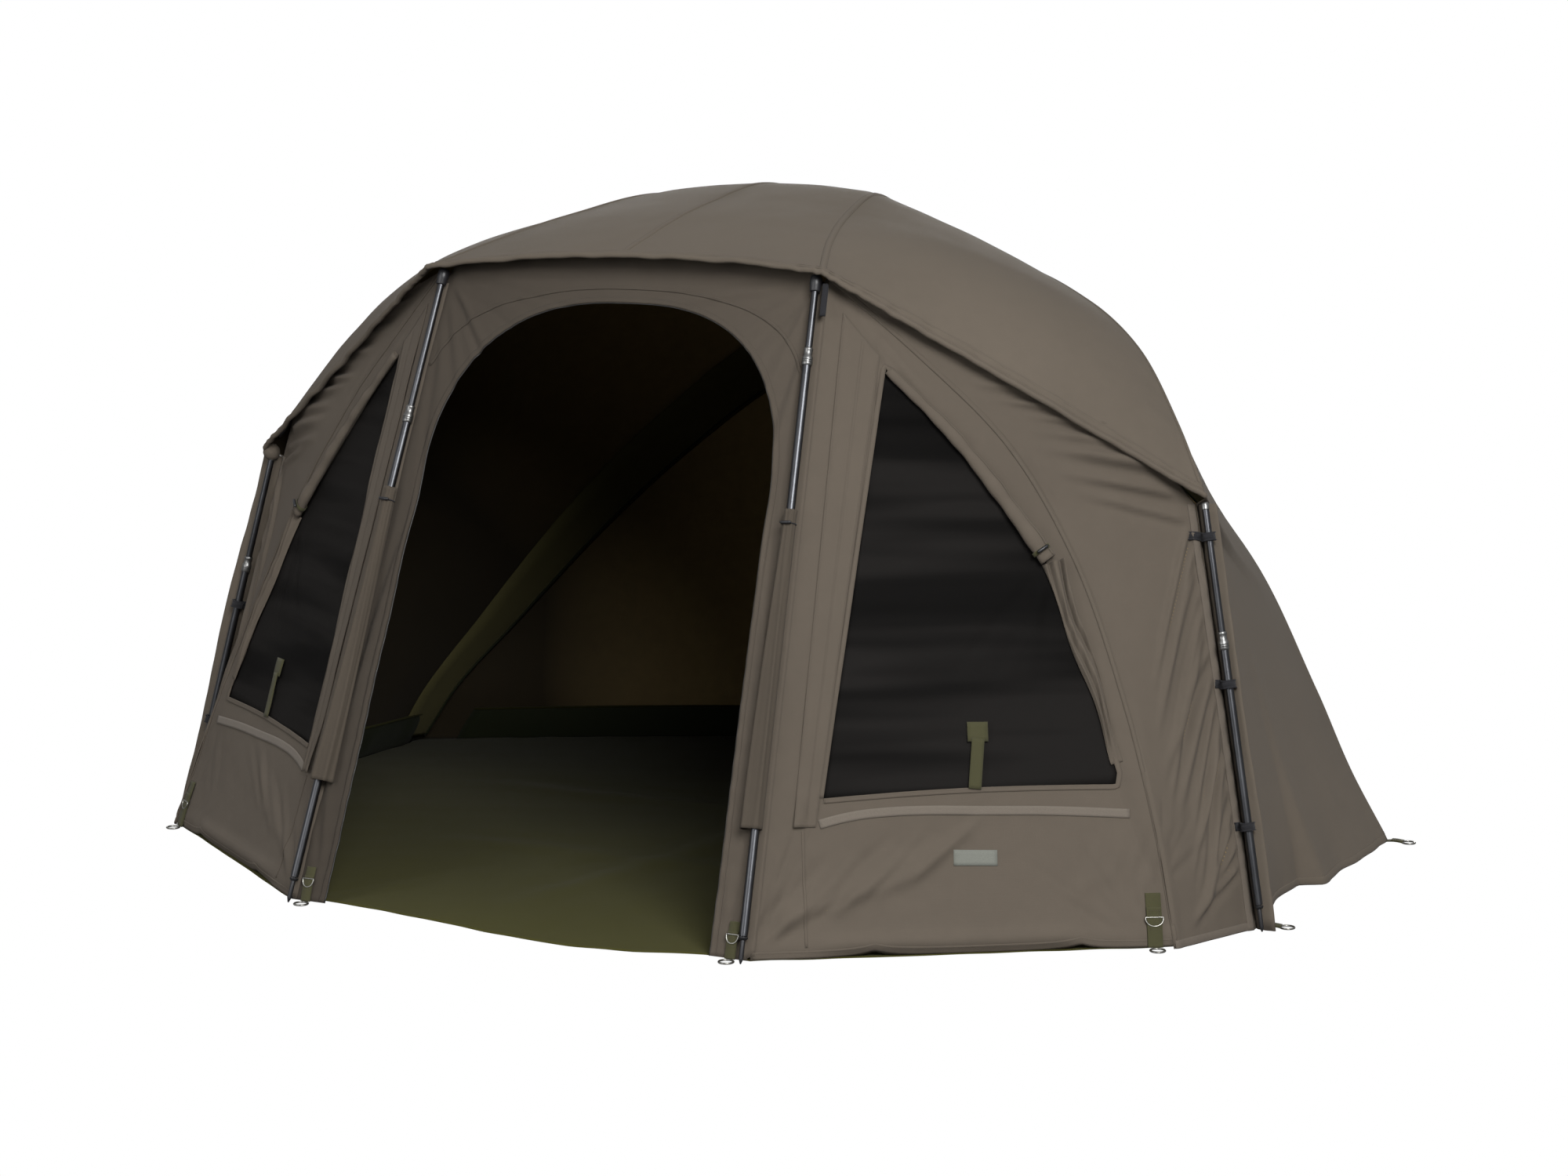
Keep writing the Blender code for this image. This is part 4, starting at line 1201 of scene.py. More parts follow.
def under_crown():
    """Where the canopy's inner face comes down through the door wall's front, from the corner inwards."""
    grid = front_skin()
    off = (grid - DOOR.origin) @ DOOR.z - CLOTH / 2
    spots = []
    for column in range(grid.shape[1] - 2, grid.shape[1] // 2 - 1, -1):
        rows = [i for i in range(1, len(grid)) if off[i, column] >= 0 > off[i - 1, column]]
        i = rows[-1] if rows else len(grid) - 1
        share = off[i, column] / (off[i, column] - off[i - 1, column]) if rows else 0.0
        spots.append(grid[i, column] * (1 - share) + grid[i - 1, column] * share)
    return DOOR.flat(np.array(spots) - (0, 0, 0.0012))


def door_relief(flat, side):
    """Wrinkles of the door wall: drawn from the pole's head along the leg and along the hem."""
    seed = 100 + side
    x = flat[..., 0] * side
    own = np.stack([np.abs(x), flat[..., 1]], -1)
    lines = fan(HEAD_SPOT, (176, 262), (0.16, 0.55), 0.0070, 0.0026, 13, seed)
    lines += fan(HEAD_SPOT + (0.0, -0.05), (258, 276), (0.35, 1.0), 0.0085, 0.0022, 5, seed + 1)
    lines += fan(on_door_flat([(0.47, 0.02)])[0], (70, 108), (0.12, 0.40), 0.008, 0.0020, 5, seed + 2)
    random = np.random.default_rng(seed + 3)
    for k in range(5):
        start, end = on_door_flat([(0.404 + 0.009 * k, 0.86 - 0.05 * k), (0.450 + 0.015 * k, 0.03)])
        lines.append((start, end, random.uniform(0.0065, 0.0085), random.uniform(0.0035, 0.0060)))
    height = crease_height(own, lines)
    across = np.sin(own[..., 1] * (2 * math.pi / 0.052) + 3 * own[..., 0] / 0.1)
    height = height + 0.0007 * across * smooth_step((0.9 - own[..., 1]) / 0.5)
    return height + 0.0012 * ripple(flat, 0.21, seed + 4)


def door_surface(flat, lift=0.0):
    side = np.where(flat[..., 0] < 0, -1, 1)
    height = np.where(side > 0, door_relief(flat, 1), door_relief(flat, -1))
    middle = smooth_step(np.abs(flat[..., 0]) / 0.05)
    return DOOR.raised(flat, CLOTH / 2 + height * middle * 0.9 + lift)


def both_halves(right):
    """A flat line up the right half and on down the left one."""
    return np.vstack([right, (right * (-1, 1))[-2::-1]])


def build_door_wall():
    """The wall round the doorway, its bound edge with the zip, and the sewn line round its arch."""
    leg, arch = doorway_edge()
    outer_leg = line(*on_door_flat(DOOR_OUTER_LEG), DOOR_LEG_ROWS + 1)
    crown = under_crown()
    crown = crown[crown[:, 0] < 0.42]
    crown[-1, 0] = 0.0
    outer_arch = np.vstack([outer_leg[-1], on_door_flat([(0.4270, 1.258)]), crown])
    outer_arch = resampled(outer_arch, DOOR_ARCH_ROWS + 1)
    edge = both_halves(np.vstack([leg, arch[1:]]))
    outer = both_halves(np.vstack([outer_leg, outer_arch[1:]]))
    flat = blended(edge, outer, DOOR_COLUMNS)
    wall = shell("door_wall_cloth", door_surface(flat), [SHADED_DOOR_CLOTH, LINING])
    shown(wall, replaces=["door_wall"])
    out_way = -beside(edge)
    binding = tape_on("door_binding", door_surface, edge + out_way * 0.0062, 0.0120, SHADED_DOOR_CLOTH, 0.0010)
    zip_path = door_surface(edge - out_way * 0.0008, -0.0012)
    shown(tube("door_zip", zip_path, 0.0016, ZIP, 6, towards=DOOR.z))
    rows = [(door_surface(edge + out_way * s, 0.0018), DOOR.z) for s in (0.0020, 0.0102)]
    half = on_door_flat(DOOR_FLAP_SEAM)
    curve = smooth_curve(np.vstack([half[::-1], (half * (-1, 1))[1:]]), 130)
    seam = tape_on("door_flap_seam", door_surface, curve, 0.0060, SHADED_DOOR_CLOTH, 0.0014)
    rows.append((door_surface(curve, 0.0019), DOOR.z))
    trim = [binding, seam, stitches("door_stitches", rows, THREAD)]
    for piece in trim:
        shown(piece)
    return wall, trim


def tape_on(name, surface, path, width, material, thickness=0.0008, lift=0.0004):
    """A flat tape laid on a wrinkled wall along a path of flat points."""
    path = resampled(path, max(3, int(length_along(path) / 0.008) + 1))
    offsets = np.linspace(-0.5, 0.5, 5)[None, :, None] * width
    flat = path[:, None] + beside(path)[:, None] * offsets
    return shell(name, surface(flat, lift + thickness), material, thickness)


# Window walls

WINDOW = Plane(*(placed((CORNER_LINE[0], ARC_SEAM[-1], CORNER_LINE[1]))))
WINDOW_HEAD = WINDOW.flat(at(*CORNER_LINE[1]))
WINDOW_FAR = WINDOW.flat(at(*ARC_SEAM[-1]))
MIDDLE_PEG_SPOT = WINDOW.flat(at(*MIDDLE_STRAP[1]))
FACING_FLAT = WINDOW.flat(placed(FACING))
FOOT_LIFT = 0.010
FOOT_LIFT_SPOTS = (0.235, 0.630)


def on_window(points):
    return WINDOW.flat(placed(points))


def foot_lift(along):
    """How far the wall's foot is lifted where it is slack between its pegs."""
    return FOOT_LIFT * sum(np.exp(-np.abs(along - spot) / 0.030) for spot in FOOT_LIFT_SPOTS)


def window_relief(flat, side):
    """Wrinkles of a window wall: below the window from the two pegs, and along its upright edges."""
    seed = 200 + 10 * side
    lines = fan((0.0, 0.0), (28, 76), (0.16, 0.36), 0.0075, 0.0030, 8, seed, start=0.05)
    lines += fan(MIDDLE_PEG_SPOT, (98, 152), (0.14, 0.34), 0.0085, 0.0024, 6, seed + 1, start=0.06)
    lines += fan(WINDOW_HEAD, (282, 312), (0.2, 0.8), 0.0080, 0.0020, 6, seed + 2)
    random = np.random.default_rng(seed + 5)
    for k in range(9):
        start = np.array((0.045 + 0.032 * k, 0.050 + 0.010 * k + random.uniform(-0.008, 0.008)))
        end = start + (0.20 + random.uniform(-0.05, 0.05), 0.145)
        lines.append((start, end, random.uniform(0.009, 0.013), random.uniform(0.0055, 0.0085)))
    for k in range(5):
        start = MIDDLE_PEG_SPOT + (-0.020 - 0.030 * k, 0.10 + random.uniform(-0.01, 0.03))
        wide, deep = random.uniform(0.012, 0.016), random.uniform(0.0020, 0.0035)
        lines.append((start, start + (0.06, 0.15), wide, deep))
    height = crease_height(flat, lines) * (1.0 if side > 0 else 0.35)
    height = height + 0.0014 * ripple(flat, 0.24, seed + 3) + 0.0004 * ripple(flat, 0.06, seed + 4)
    height = height * (1 - 0.75 * under_facing(flat))
    along, up = flat[..., 0], flat[..., 1]
    strip = smooth_step((along - 0.10) / 0.10) * smooth_step((0.66 - along) / 0.08)
    curl = 0.0065 * hump(up, 0.032, 0.014) - 0.0130 * smooth_step((0.024 - up) / 0.024)
    return height + curl * (0.25 + 0.75 * strip)


def under_facing(flat):
    """1 where the facing covers the wall, 0 elsewhere."""
    share = (flat[..., 1] - FACING_FLAT[3, 1]) / (FACING_FLAT[0, 1] - FACING_FLAT[3, 1])
    left = FACING_FLAT[3, 0] + (FACING_FLAT[0, 0] - FACING_FLAT[3, 0]) * share
    right = FACING_FLAT[2, 0] + (FACING_FLAT[1, 0] - FACING_FLAT[2, 0]) * share
    edge = 0.012
    inside = smooth_step((flat[..., 0] - left + edge) / edge)
    inside = inside * smooth_step((right + edge - flat[..., 0]) / edge)
    return inside * smooth_step((share + 0.02) / 0.02)


def window_surface(side):
    def surface(flat, lift=0.0):
        return mirrored(WINDOW.raised(flat, CLOTH / 2 + window_relief(flat, side) + lift), side)

    return surface


def ring_between(inner, outer, columns):
    """A closed ring of flat points between two closed loops of the same count."""
    flat = blended(inner, outer, columns)
    return np.concatenate([flat, flat[:1]])


ARC_ROWS = 141
CORNER_ROWS = 5
SILL_ROWS = 111
JAMB_ROWS = 131


def window_loops():
    """The window's edge and the wall's outer edge, as flat loops that run together."""
    arc = smooth_curve(on_window(WINDOW_ARC), ARC_ROWS)
    corner, foot = on_window(WINDOW_FOOT)
    base = line(corner, foot, SILL_ROWS)
    base[:, 1] += 0.007 * np.sin(math.pi * np.linspace(0, 1, SILL_ROWS))
    jamb = line(foot, arc[0], JAMB_ROWS)
    inner = np.vstack([jamb[:-1], arc[:-1], line(arc[-1], corner, CORNER_ROWS)[:-1], base[:-1]])
    seam = smooth_curve(on_window(ARC_SEAM), ARC_ROWS + CORNER_ROWS - 1) - (0.0007, 0.0)
    lowest = 0.0046
    start = np.array((0.0, lowest))
    seam[:, 1] = np.maximum(seam[:, 1], lowest)
    sill = resampled(line(seam[-1], start, 9), SILL_ROWS)
    sill[:, 1] += foot_lift(sill[:, 0])
    outer = np.vstack([line(start, WINDOW_HEAD, JAMB_ROWS)[:-1], seam[:-1], sill[:-1]])
    return inner, outer


def build_window_wall(word, side):
    surface = window_surface(side)
    inner, outer = window_loops()
    flat = ring_between(inner, outer, 36)
    made = ring_shell(f"window_wall_cloth_{word}", surface(flat), [PANEL, LINING])
    shown(made, replaces=[f"window_wall_{word}"])
    pieces = build_window_trim(word, side, surface, inner)
    return made


def ring_shell(name, outer, materials):
    """A closed sheet with a hole: the grid's last row is its first again."""
    swapped = np.swapaxes(outer[:-1], 0, 1)
    return shell(name, swapped, materials, wrap=True, normals=normals_of(swapped, wrap=True))


def build_corner_seam(word, side, surface):
    """The seam that joins the door wall to a window wall behind the front pole."""
    (foot_x, _), (top_x, top_z) = DOOR_OUTER_LEG
    heights = np.linspace(0.012, 1.235, 90)
    outer_x = foot_x + (top_x - foot_x) * heights / top_z
    columns = []
    for inset in (0.010, 0.002):
        on_leg = on_door_flat(np.stack([(outer_x - inset) * side, heights], 1))
        columns.append(door_surface(on_leg, 0.0014))
    share = (heights - 0.012) / (1.26 - 0.012)
    for inset in (0.002, 0.009):
        columns.append(surface(WINDOW_HEAD * share[:, None] + (inset, 0.012), 0.0014))
    seam = shell(f"corner_seam_{word}", np.stack(columns, 1), PANEL, 0.0008)
    return shown(seam)


def build_window_trim(word, side, surface, edge):
    """Net, facing, flap roll, stripe, straps, label and seams of one window wall."""
    pieces = [build_net(word, side), build_facing(word, side), build_roll(word, side)]
    closed = np.vstack([edge, edge[:1]])
    out_way = beside(closed)
    seam = smooth_curve(on_window(ARC_SEAM), 150) - (0.006, 0.0)
    foot = resampled(np.array([(0.004, 0.0125), (WINDOW_FAR[0] - 0.012, 0.0125)]), 120)
    foot[:, 1] += foot_lift(foot[:, 0])
    stripe = smooth_curve(on_window(STRIPE_LINE), 90)
    tapes = (
        ("window_binding", closed + out_way * 0.0050, 0.0100, PANEL, 0.0011, 0.0004),
        ("arc_seam", seam, 0.0090, PANEL, 0.0014, 0.0004),
        ("pale_stripe", stripe, 0.0175, STRIPE, 0.0010, 0.0008),
        ("lower_seam", on_window(LOWER_SEAM), 0.0045, PANEL, 0.0009, 0.0004),
        ("foot_hem", foot, 0.0135, PANEL, 0.0009, 0.0004),
    )
    trim = [tape_on(f"{name}_{word}", surface, *values) for name, *values in tapes]
    for piece in trim:
        shown(piece)
    tab = tape_on(f"window_tab_{word}", surface, on_window(TAB_BLOCK), 0.040, OLIVE, 0.0022, 0.0010)
    tail = tape_on(f"window_tail_{word}", surface, on_window(TAB_TAIL), 0.0245, OLIVE, 0.0018, 0.0036)
    trim.append(shown(joined(f"window_strap_{word}", [tab, tail])))
    if side > 0:
        label = tape_on("blank_label", surface, on_window(LABEL_LINE), 0.030, PATCH, 0.0010)
        trim.append(shown(label))
    normal = surface_normal(side)
    rows = [(surface(closed + out_way * s, 0.0017), normal) for s in (0.0022, 0.0082)]
    rows += [(surface(seam + (s, 0.0), 0.0020), normal) for s in (-0.0028, 0.0028)]
    rows.append((surface(foot + (0, 0.004), 0.0016), normal))
    trim.append(shown(stitches(f"window_stitches_{word}", rows, THREAD)))
    trim.append(build_corner_seam(word, side, surface))
    return [*pieces, *trim]


def surface_normal(side):
    return WINDOW.z * (side, 1, 1)


STRIPE_LINE = (
    (0.595, -0.506, 0.241),
    (0.630, -0.477, 0.251),
    (0.672, -0.445, 0.258),
    (0.745, -0.392, 0.261),
    (0.845, -0.324, 0.258),
    (0.957, -0.247, 0.254),
    (1.084, -0.163, 0.245),
)
LOWER_SEAM = ((0.578, -0.538, 0.236), (0.590, -0.560, 0.012))
TAB_BLOCK = ((0.8195, -0.2820, 0.4205), (0.8215, -0.2860, 0.3820))
TAB_TAIL = ((0.8215, -0.2855, 0.3880), (0.8290, -0.3170, 0.2960))
LABEL_LINE = ((0.819, -0.385, 0.177), (0.891, -0.342, 0.176))


def build_net(word, side):
    """The window's mesh, a little slack, with soft level folds."""
    arc = smooth_curve(on_window(WINDOW_ARC), 90)[1:]
    corner, foot = on_window(WINDOW_FOOT)
    right = np.vstack([arc, corner])
    left = line(WINDOW.flat(at(*WINDOW_ARC[0])) - (0.0005, 0.004), foot, len(right))
    flat = blended(left, right, 48)
    random = np.random.default_rng(31 + side)
    lines = []
    for height in np.linspace(0.40, 0.98, 9):
        level = height + random.uniform(-0.02, 0.02)
        tilt = random.uniform(-0.03, 0.03)
        wide, deep = random.uniform(0.007, 0.016), random.uniform(0.0015, 0.003)
        lines.append(((-0.05, level), (0.75, level + tilt), wide, deep))
    lines += fan(WINDOW.flat(at(*FLAP_ROLL[-1])), (225, 262), (0.15, 0.36), 0.010, 0.0030, 5, 77 + side)
    u = np.linspace(0, 1, 49)[None, :]
    height = crease_height(flat, lines) + 0.0020 * ripple(flat, 0.2, 41 + side)
    height = height * np.minimum(1.0, 12 * u * (1 - u))
    outer = mirrored(WINDOW.raised(flat, height - 0.0006), side)
    net = shell(f"window_net_{word}", outer, NET, 0.0006)
    shown(net, replaces=[f"window_mesh_{word}"])
    return net


def build_facing(word, side):
    """The strip between the pole and the window, sewn down its middle and free at its foot."""
    top_left, top_right, foot_right, foot_left = FACING_FLAT
    rows, columns = 150, 16
    left, right = line(top_left, foot_left, rows + 1), line(top_right, foot_right, rows + 1)
    flat = blended(left, right, columns)
    run = np.linspace(0, 1, rows + 1)[:, None]
    over = np.linspace(0, 1, columns + 1)[None, :]
    free = smooth_step((run - 0.88) / 0.12)
    height = 0.0010 * ripple(flat, 0.16, 61 + side) + 0.0012
    height = height + free * (0.0035 + 0.0040 * np.sin(over * 5.2 + 0.6))
    height = height - 0.0010 * hump(over, 0.55, 0.045) * (1 - free)
    height = height + 0.0010 * (hump(over, 0.0, 0.08) + hump(over, 1.0, 0.08))
    height = np.maximum(height, 0.0008)

    def surface(points, lift):
        return mirrored(WINDOW.raised(points, CLOTH / 2 + lift), side)

    facing = shell(f"facing_cloth_{word}", surface(flat, height + 0.0010), PANEL, 0.0009)
    shown(facing, replaces=[f"facing_{word}"])
    paths = []
    for share in (0.05, 0.52, 0.58, 0.95):
        column = int(share * columns + 0.5)
        path = surface(left * (1 - share) + right * share, height[:, column] + 0.0014)
        paths.append((path[2:-3], surface_normal(side)))
    threads = shown(stitches(f"facing_stitches_{word}", paths, THREAD))
    return facing


ROLL_ROWS = 64
ROLL_TURNS = 10
ROLL_STEPS = 12
ROLL_WIDE = 1.18
ROLL_FLAT = 0.74
TIE_PLACE = 0.965  # share of the roll's length
GATHERS = (
    (0.888, -0.108, 0.708),
    (0.915, -0.115, 0.649),
    (0.961, -0.126, 0.546),
    (1.007, -0.137, 0.445),
    (1.050, -0.151, 0.337),
)


def rolled_sheet(word, side, centre, across, up, radius):
    """The flap's cloth, wound many times round its centreline."""
    share = np.linspace(0, 1, len(centre))
    turn = np.linspace(0, 1, ROLL_TURNS * ROLL_STEPS + 1)
    angle = turn * ROLL_TURNS * 2 * math.pi + 0.8
    wobble = 1 + 0.05 * np.sin(angle + share[:, None] * 9) * (turn > 0.85)
    reach = radius[:, None] * (0.14 + 0.86 * turn)[None, :] * wobble
    reach = np.minimum(reach, radius[:, None] * 1.02)
    grid = (
        centre[:, None]
        + across[:, None] * (reach * np.cos(angle) * ROLL_WIDE)[..., None]
        + up[:, None] * (reach * np.sin(angle) * ROLL_FLAT)[..., None]
    )
    pitch = (radius * 0.86 / ROLL_TURNS)[:, None, None]
    inner = grid - unit(grid - centre[:, None]) * pitch * 0.5
    return shell(f"roll_{word}", mirrored(grid, side), [PANEL, PANEL], inner=mirrored(inner, side))


def loose_gathers(word, side):
    """The flap's lower part, which hangs in loose gathers along the window's edge."""
    path = smooth_curve(on_window(GATHERS), 80)
    s = np.linspace(0, 1, 80)[:, None]
    c = np.linspace(0, 1, 31)[None, :]
    out_way = beside(path)[:, None]
    drift = 0.9 * np.sin(s * 4.2 + 0.5) + 0.5 * np.sin(s * 9.0)
    fold = np.abs(np.sin(c * 1.9 * math.pi + drift + side)) ** 1.4 * (0.0135 - 0.0085 * s)
    fold = fold + 0.0020 * np.sin(c * 11 + s * 16) ** 2 * (1 - 0.6 * s)
    fold = fold * np.minimum(1.0, 6 * c) * smooth_step((1.02 - s) / 0.2) + 0.0009
    spread = path[:, None] + out_way * ((c - 0.30) * (0.040 - 0.020 * s))[..., None]
    spread = spread + out_way * (0.0030 * np.sin(s * 11 + c * 2))[..., None]
    outer = mirrored(WINDOW.raised(spread, CLOTH / 2 + 0.0006 + fold), side)
    return shell(f"loose_{word}", outer, PANEL, 0.0005)


def toggle(name, spot, way, half_length, radius):
    """A small barrel toggle with narrower ends."""
    reaches = (-half_length, 0.003 - half_length, half_length - 0.003, half_length)
    ends = np.array([spot + way * reach for reach in reaches])
    return tube(name, ends, radius, PLASTIC, 10, scale=(0.5, 1.0, 1.0, 0.5))


def build_roll(word, side):
    """The window's storm flap: a rolled sheet, thicker towards its tie, and its loose gathers below."""
    share = np.linspace(0, 1, ROLL_ROWS)
    radius = 0.0080 + 0.0075 * share**0.8 + 0.0008 * np.sin(share * 23) + 0.0006 * np.sin(share * 51)
    flat = smooth_curve(on_window(FLAP_ROLL), ROLL_ROWS)
    centre = WINDOW.raised(flat, CLOTH / 2 + 0.0008 + radius * ROLL_FLAT * 1.03)
    _, across, up = frames_along(centre, WINDOW.z)
    roll = rolled_sheet(word, side, centre, across, up, radius)
    flap = joined(f"window_flap_cloth_{word}", [roll, loose_gathers(word, side)])
    flap.data.shade_smooth()
    shown(flap, replaces=[f"window_flap_{word}"])
    k = int(TIE_PLACE * (ROLL_ROWS - 1))
    angle = np.linspace(0, 2 * math.pi, 25)[:, None]
    round_roll = across[k] * np.cos(angle) * ROLL_WIDE + up[k] * np.sin(angle) * ROLL_FLAT
    loop = centre[k] + round_roll * (radius[k] + 0.0014)
    ways = mirrored(unit(loop - centre[k]), side)
    strap = swept(f"tie_{word}", mirrored(loop, side), band_profile(0.008, 0.0012), ways, OLIVE)
    spot = mirrored(centre[k] + up[k] * (radius[k] * ROLL_FLAT + 0.0050), side)
    ends = toggle(f"toggle_{word}", spot, mirrored(across[k], side), 0.013, 0.0034)
    tie = shown(joined(f"flap_tie_{word}", [strap, ends]))
    return flap


# Side panels

PANEL_FINE = 12  # rows of the side panel for each row of the construction
POLE_START = 7 * PANEL_FINE  # the first row along the side pole, below the canopy's edge
OVERHANG = 0.052  # how much deeper the canopy overhangs the side panel in the middle


def inside_edge(rows, distances):
    """Points of a panel at these distances in from its last row, one in each column."""
    points = []
    for path, distance in zip(np.swapaxes(rows[::-1], 0, 1), distances):
        lengths = np.concatenate([[0.0], np.cumsum(np.linalg.norm(np.diff(path, axis=0), axis=1))])
        points.append([np.interp(distance, lengths, path[:, k]) for k in range(3)])
    return np.array(points)


def side_panel_edge(side):
    """The side panel's outer edge: well under the canopy's edge, then down in front of the side seam."""
    rows = front_side_skin(side, 8 * PANEL_FINE)
    share = np.linspace(0, 1, rows.shape[1])
    lips = CANOPY_LIP + OVERHANG * np.sin(math.pi * share) ** 0.8
    edge = inside_edge(rows, lips)
    normal = unit(np.cross(inside_edge(rows, lips + 0.03) - edge, np.gradient(edge, axis=0)))
    normal = np.where(normal[:, 2:] < 0, -normal, normal)
    under = (edge - normal * (CLOTH + 0.0008))[PANEL_FINE : 7 * PANEL_FINE + 1]
    seam = mirrored(placed(SIDE_SEAM), side) - (0, 0.0008 + CLOTH, 0)
    jump = line(under[-1], seam[0], PANEL_FINE + 1)[1:-1]
    return np.vstack([under, jump, line(seam[0], seam[1], 10 * PANEL_FINE + 1)])


def pulls(flat, own, side):
    """The side panel's creases: drawn from the pole towards the window wall, and up from the middle peg."""
    rows, columns = len(flat) - 1, flat.shape[1] - 1

    def spot(v, u):
        return flat[int(v * rows), int(u * columns)]

    random = np.random.default_rng(300 + side)
    lines = []
    for k in range(12):
        v = 0.09 + 0.030 * k + random.uniform(-0.008, 0.008)
        reach = random.uniform(0.0, 0.35)
        ends = spot(v + 0.012, 0.98), spot(v - 0.030, 0.10 + reach)
        lines.append((*ends, random.uniform(0.007, 0.011), random.uniform(0.0060, 0.0110)))
    for k in range(17):
        v = 0.43 + 0.030 * k + random.uniform(-0.007, 0.007)
        low = min(0.985, v + random.uniform(0.18, 0.27))
        ends = spot(v, 0.97), spot(low, random.uniform(0.12, 0.40))
        lines.append((*ends, random.uniform(0.0065, 0.0100), random.uniform(0.0060, 0.0100)))
    peg = own.flat(mirrored(at(*MIDDLE_STRAP[0]), side))
    lines += fan(peg, (20, 75), (0.10, 0.26), 0.007, 0.0022, 4, 310 + side)
    return [(start, end, wide * side, deep) for start, end, wide, deep in lines]


def build_side_panel(word, side):
    """The stretched panel between the window wall's arc seam and the side pole."""
    outer_edge = side_panel_edge(side)
    seam = smooth_curve(mirrored(placed(ARC_SEAM), side), len(outer_edge))
    grid = skin(seam, outer_edge, 68)
    out = outs_of(grid)
    own = Plane(grid[-1, 0], grid[-1, -1], grid[0, 0])
    flat = own.flat(grid)
    height = crease_height(flat, pulls(flat, own, side))
    height = height + 0.0022 * ripple(grid, 0.30, 320 + side) + 0.0005 * ripple(grid, 0.07, 321 + side)
    height = np.clip(height * pinned(grid, 0.022, (0.02, 0.0)), -0.0090, 0.0125)
    outer = grid + out * (0.0022 + height)[..., None]
    outer[..., 2] = np.maximum(outer[..., 2], 0.0006)
    tucked = outer[:, 0] + unit(outer[:, 0] - outer[:, 1]) * 0.008 - out[:, 0] * 0.0032
    outer = np.concatenate([tucked[:, None], outer], axis=1)
    out = np.concatenate([out[:, :1], out], axis=1)
    panel = shell(f"side_panel_cloth_{word}", outer, [PANEL, LINING], normals=out)
    shown(panel, replaces=[f"side_panel_{word}"])
    pieces = [build_edge_strip(word, outer, out), *build_clips(word, side, outer)]
    return panel


def band_on(name, base, up, out, section, material, thickness):
    """A flat band along an edge; its section gives points by how far they lie up the cloth and out of it."""
    grid = np.stack([base + up * s + out * h for s, h in section], 1)
    return shell(name, grid, material, thickness)


STRIP_SECTION = ((-0.008, 0.0005), (-0.006, 0.0017), (0.006, 0.0017), (0.008, 0.0005))
PANEL_HEM_SECTION = ((0.0006, 0.0004), (0.0020, 0.0014), (0.0140, 0.0014), (0.0160, 0.0004))
WALL_HEM_SECTION = ((0.0006, 0.0005), (0.0020, 0.0015), (0.0150, 0.0015), (0.0170, 0.0005))


def build_edge_strip(word, outer, out):
    """The bound edge of the side panel by the side pole, and its foot hem."""
    column = outer[POLE_START:, -3]
    inward = unit(outer[POLE_START:, -6] - column)
    strip = band_on(f"strip_{word}", column, inward, out[POLE_START:, -3], STRIP_SECTION, BINDING, 0.0010)
    up = unit(outer[-3] - outer[-1])
    hem = band_on(f"hem_{word}", outer[-1], up, out[-1], PANEL_HEM_SECTION, BINDING, 0.0009)
    return shown(joined(f"side_panel_binding_{word}", [strip, hem]))


HEAD_TAB_HEIGHT = 0.752
BAG_AXIS = (0.9, 0.5, 0.1)
BAG_PROFILE = (
    (0.0, -0.020),
    (0.011, -0.017),
    (0.018, -0.008),
    (0.0200, 0.002),
    (0.0170, 0.012),
    (0.009, 0.018),
    (0.0, 0.0195),
)


def build_clips(word, side, outer):
    """Webbing that holds the side pole to the panel: a tab by the right pole's head, a bag on the left's."""
    foot, top = mirrored(placed(SIDE_POLE), side)
    axis = unit(top - foot)
    edge, further_in = outer[POLE_START:, -1], outer[POLE_START:, -4]
    heights = (*CLIP_HEIGHTS, HEAD_TAB_HEIGHT) if side > 0 else CLIP_HEIGHTS
    made = []
    for number, height in enumerate(heights):
        is_tab = height == HEAD_TAB_HEIGHT
        centre = foot + axis * (height / axis[2])
        row = np.argmin(np.abs(edge[:, 2] - height))
        anchor, inner = edge[row], further_in[row]
        way = anchor - centre
        way = unit(way - axis * (way @ axis))
        angle = np.linspace(0.42, 2 * math.pi - 0.42, 30)[:, None]
        round_pole = way * np.cos(angle) + np.cross(axis, way) * np.sin(angle)
        arc = centre + round_pole * (0.0118 if is_tab else 0.0128)
        beyond = unit(inner - anchor) * (0.026 if is_tab else 0.012)
        lift = unit(np.cross(beyond, axis)) * 0.0022
        if lift @ (centre - INSIDE) < 0:
            lift = -lift
        lead = [anchor + beyond + lift, anchor + beyond * 0.3 + lift, (anchor + arc[0]) * 0.5 + lift * 0.3]
        path = smooth_curve(np.vstack([lead, arc]), 60)
        made.append(swept(f"clip_{word}_{number}", path, band_profile(0.0016, 0.016), axis, BLACK_TAPE))
    clips = [shown(joined(f"pole_clips_{word}", made))]
    if side < 0:
        middle = top + axis * 0.004 + unit(top * (1, 1, 0)) * 0.004
        clips.append(shown(turned("head_bag", BAG_PROFILE, middle, BAG_AXIS, PANEL)))
    return clips


# Poles, ribs and hub

SHOWN_RADII = {"upper": 0.0070, "bore": 0.0076, "lower": 0.0084, "collar": 0.0106}
SHOWN_COLLAR_LENGTH = 0.034
HEAD_FINISH = {"front": PLASTIC, "side": BRIGHT}


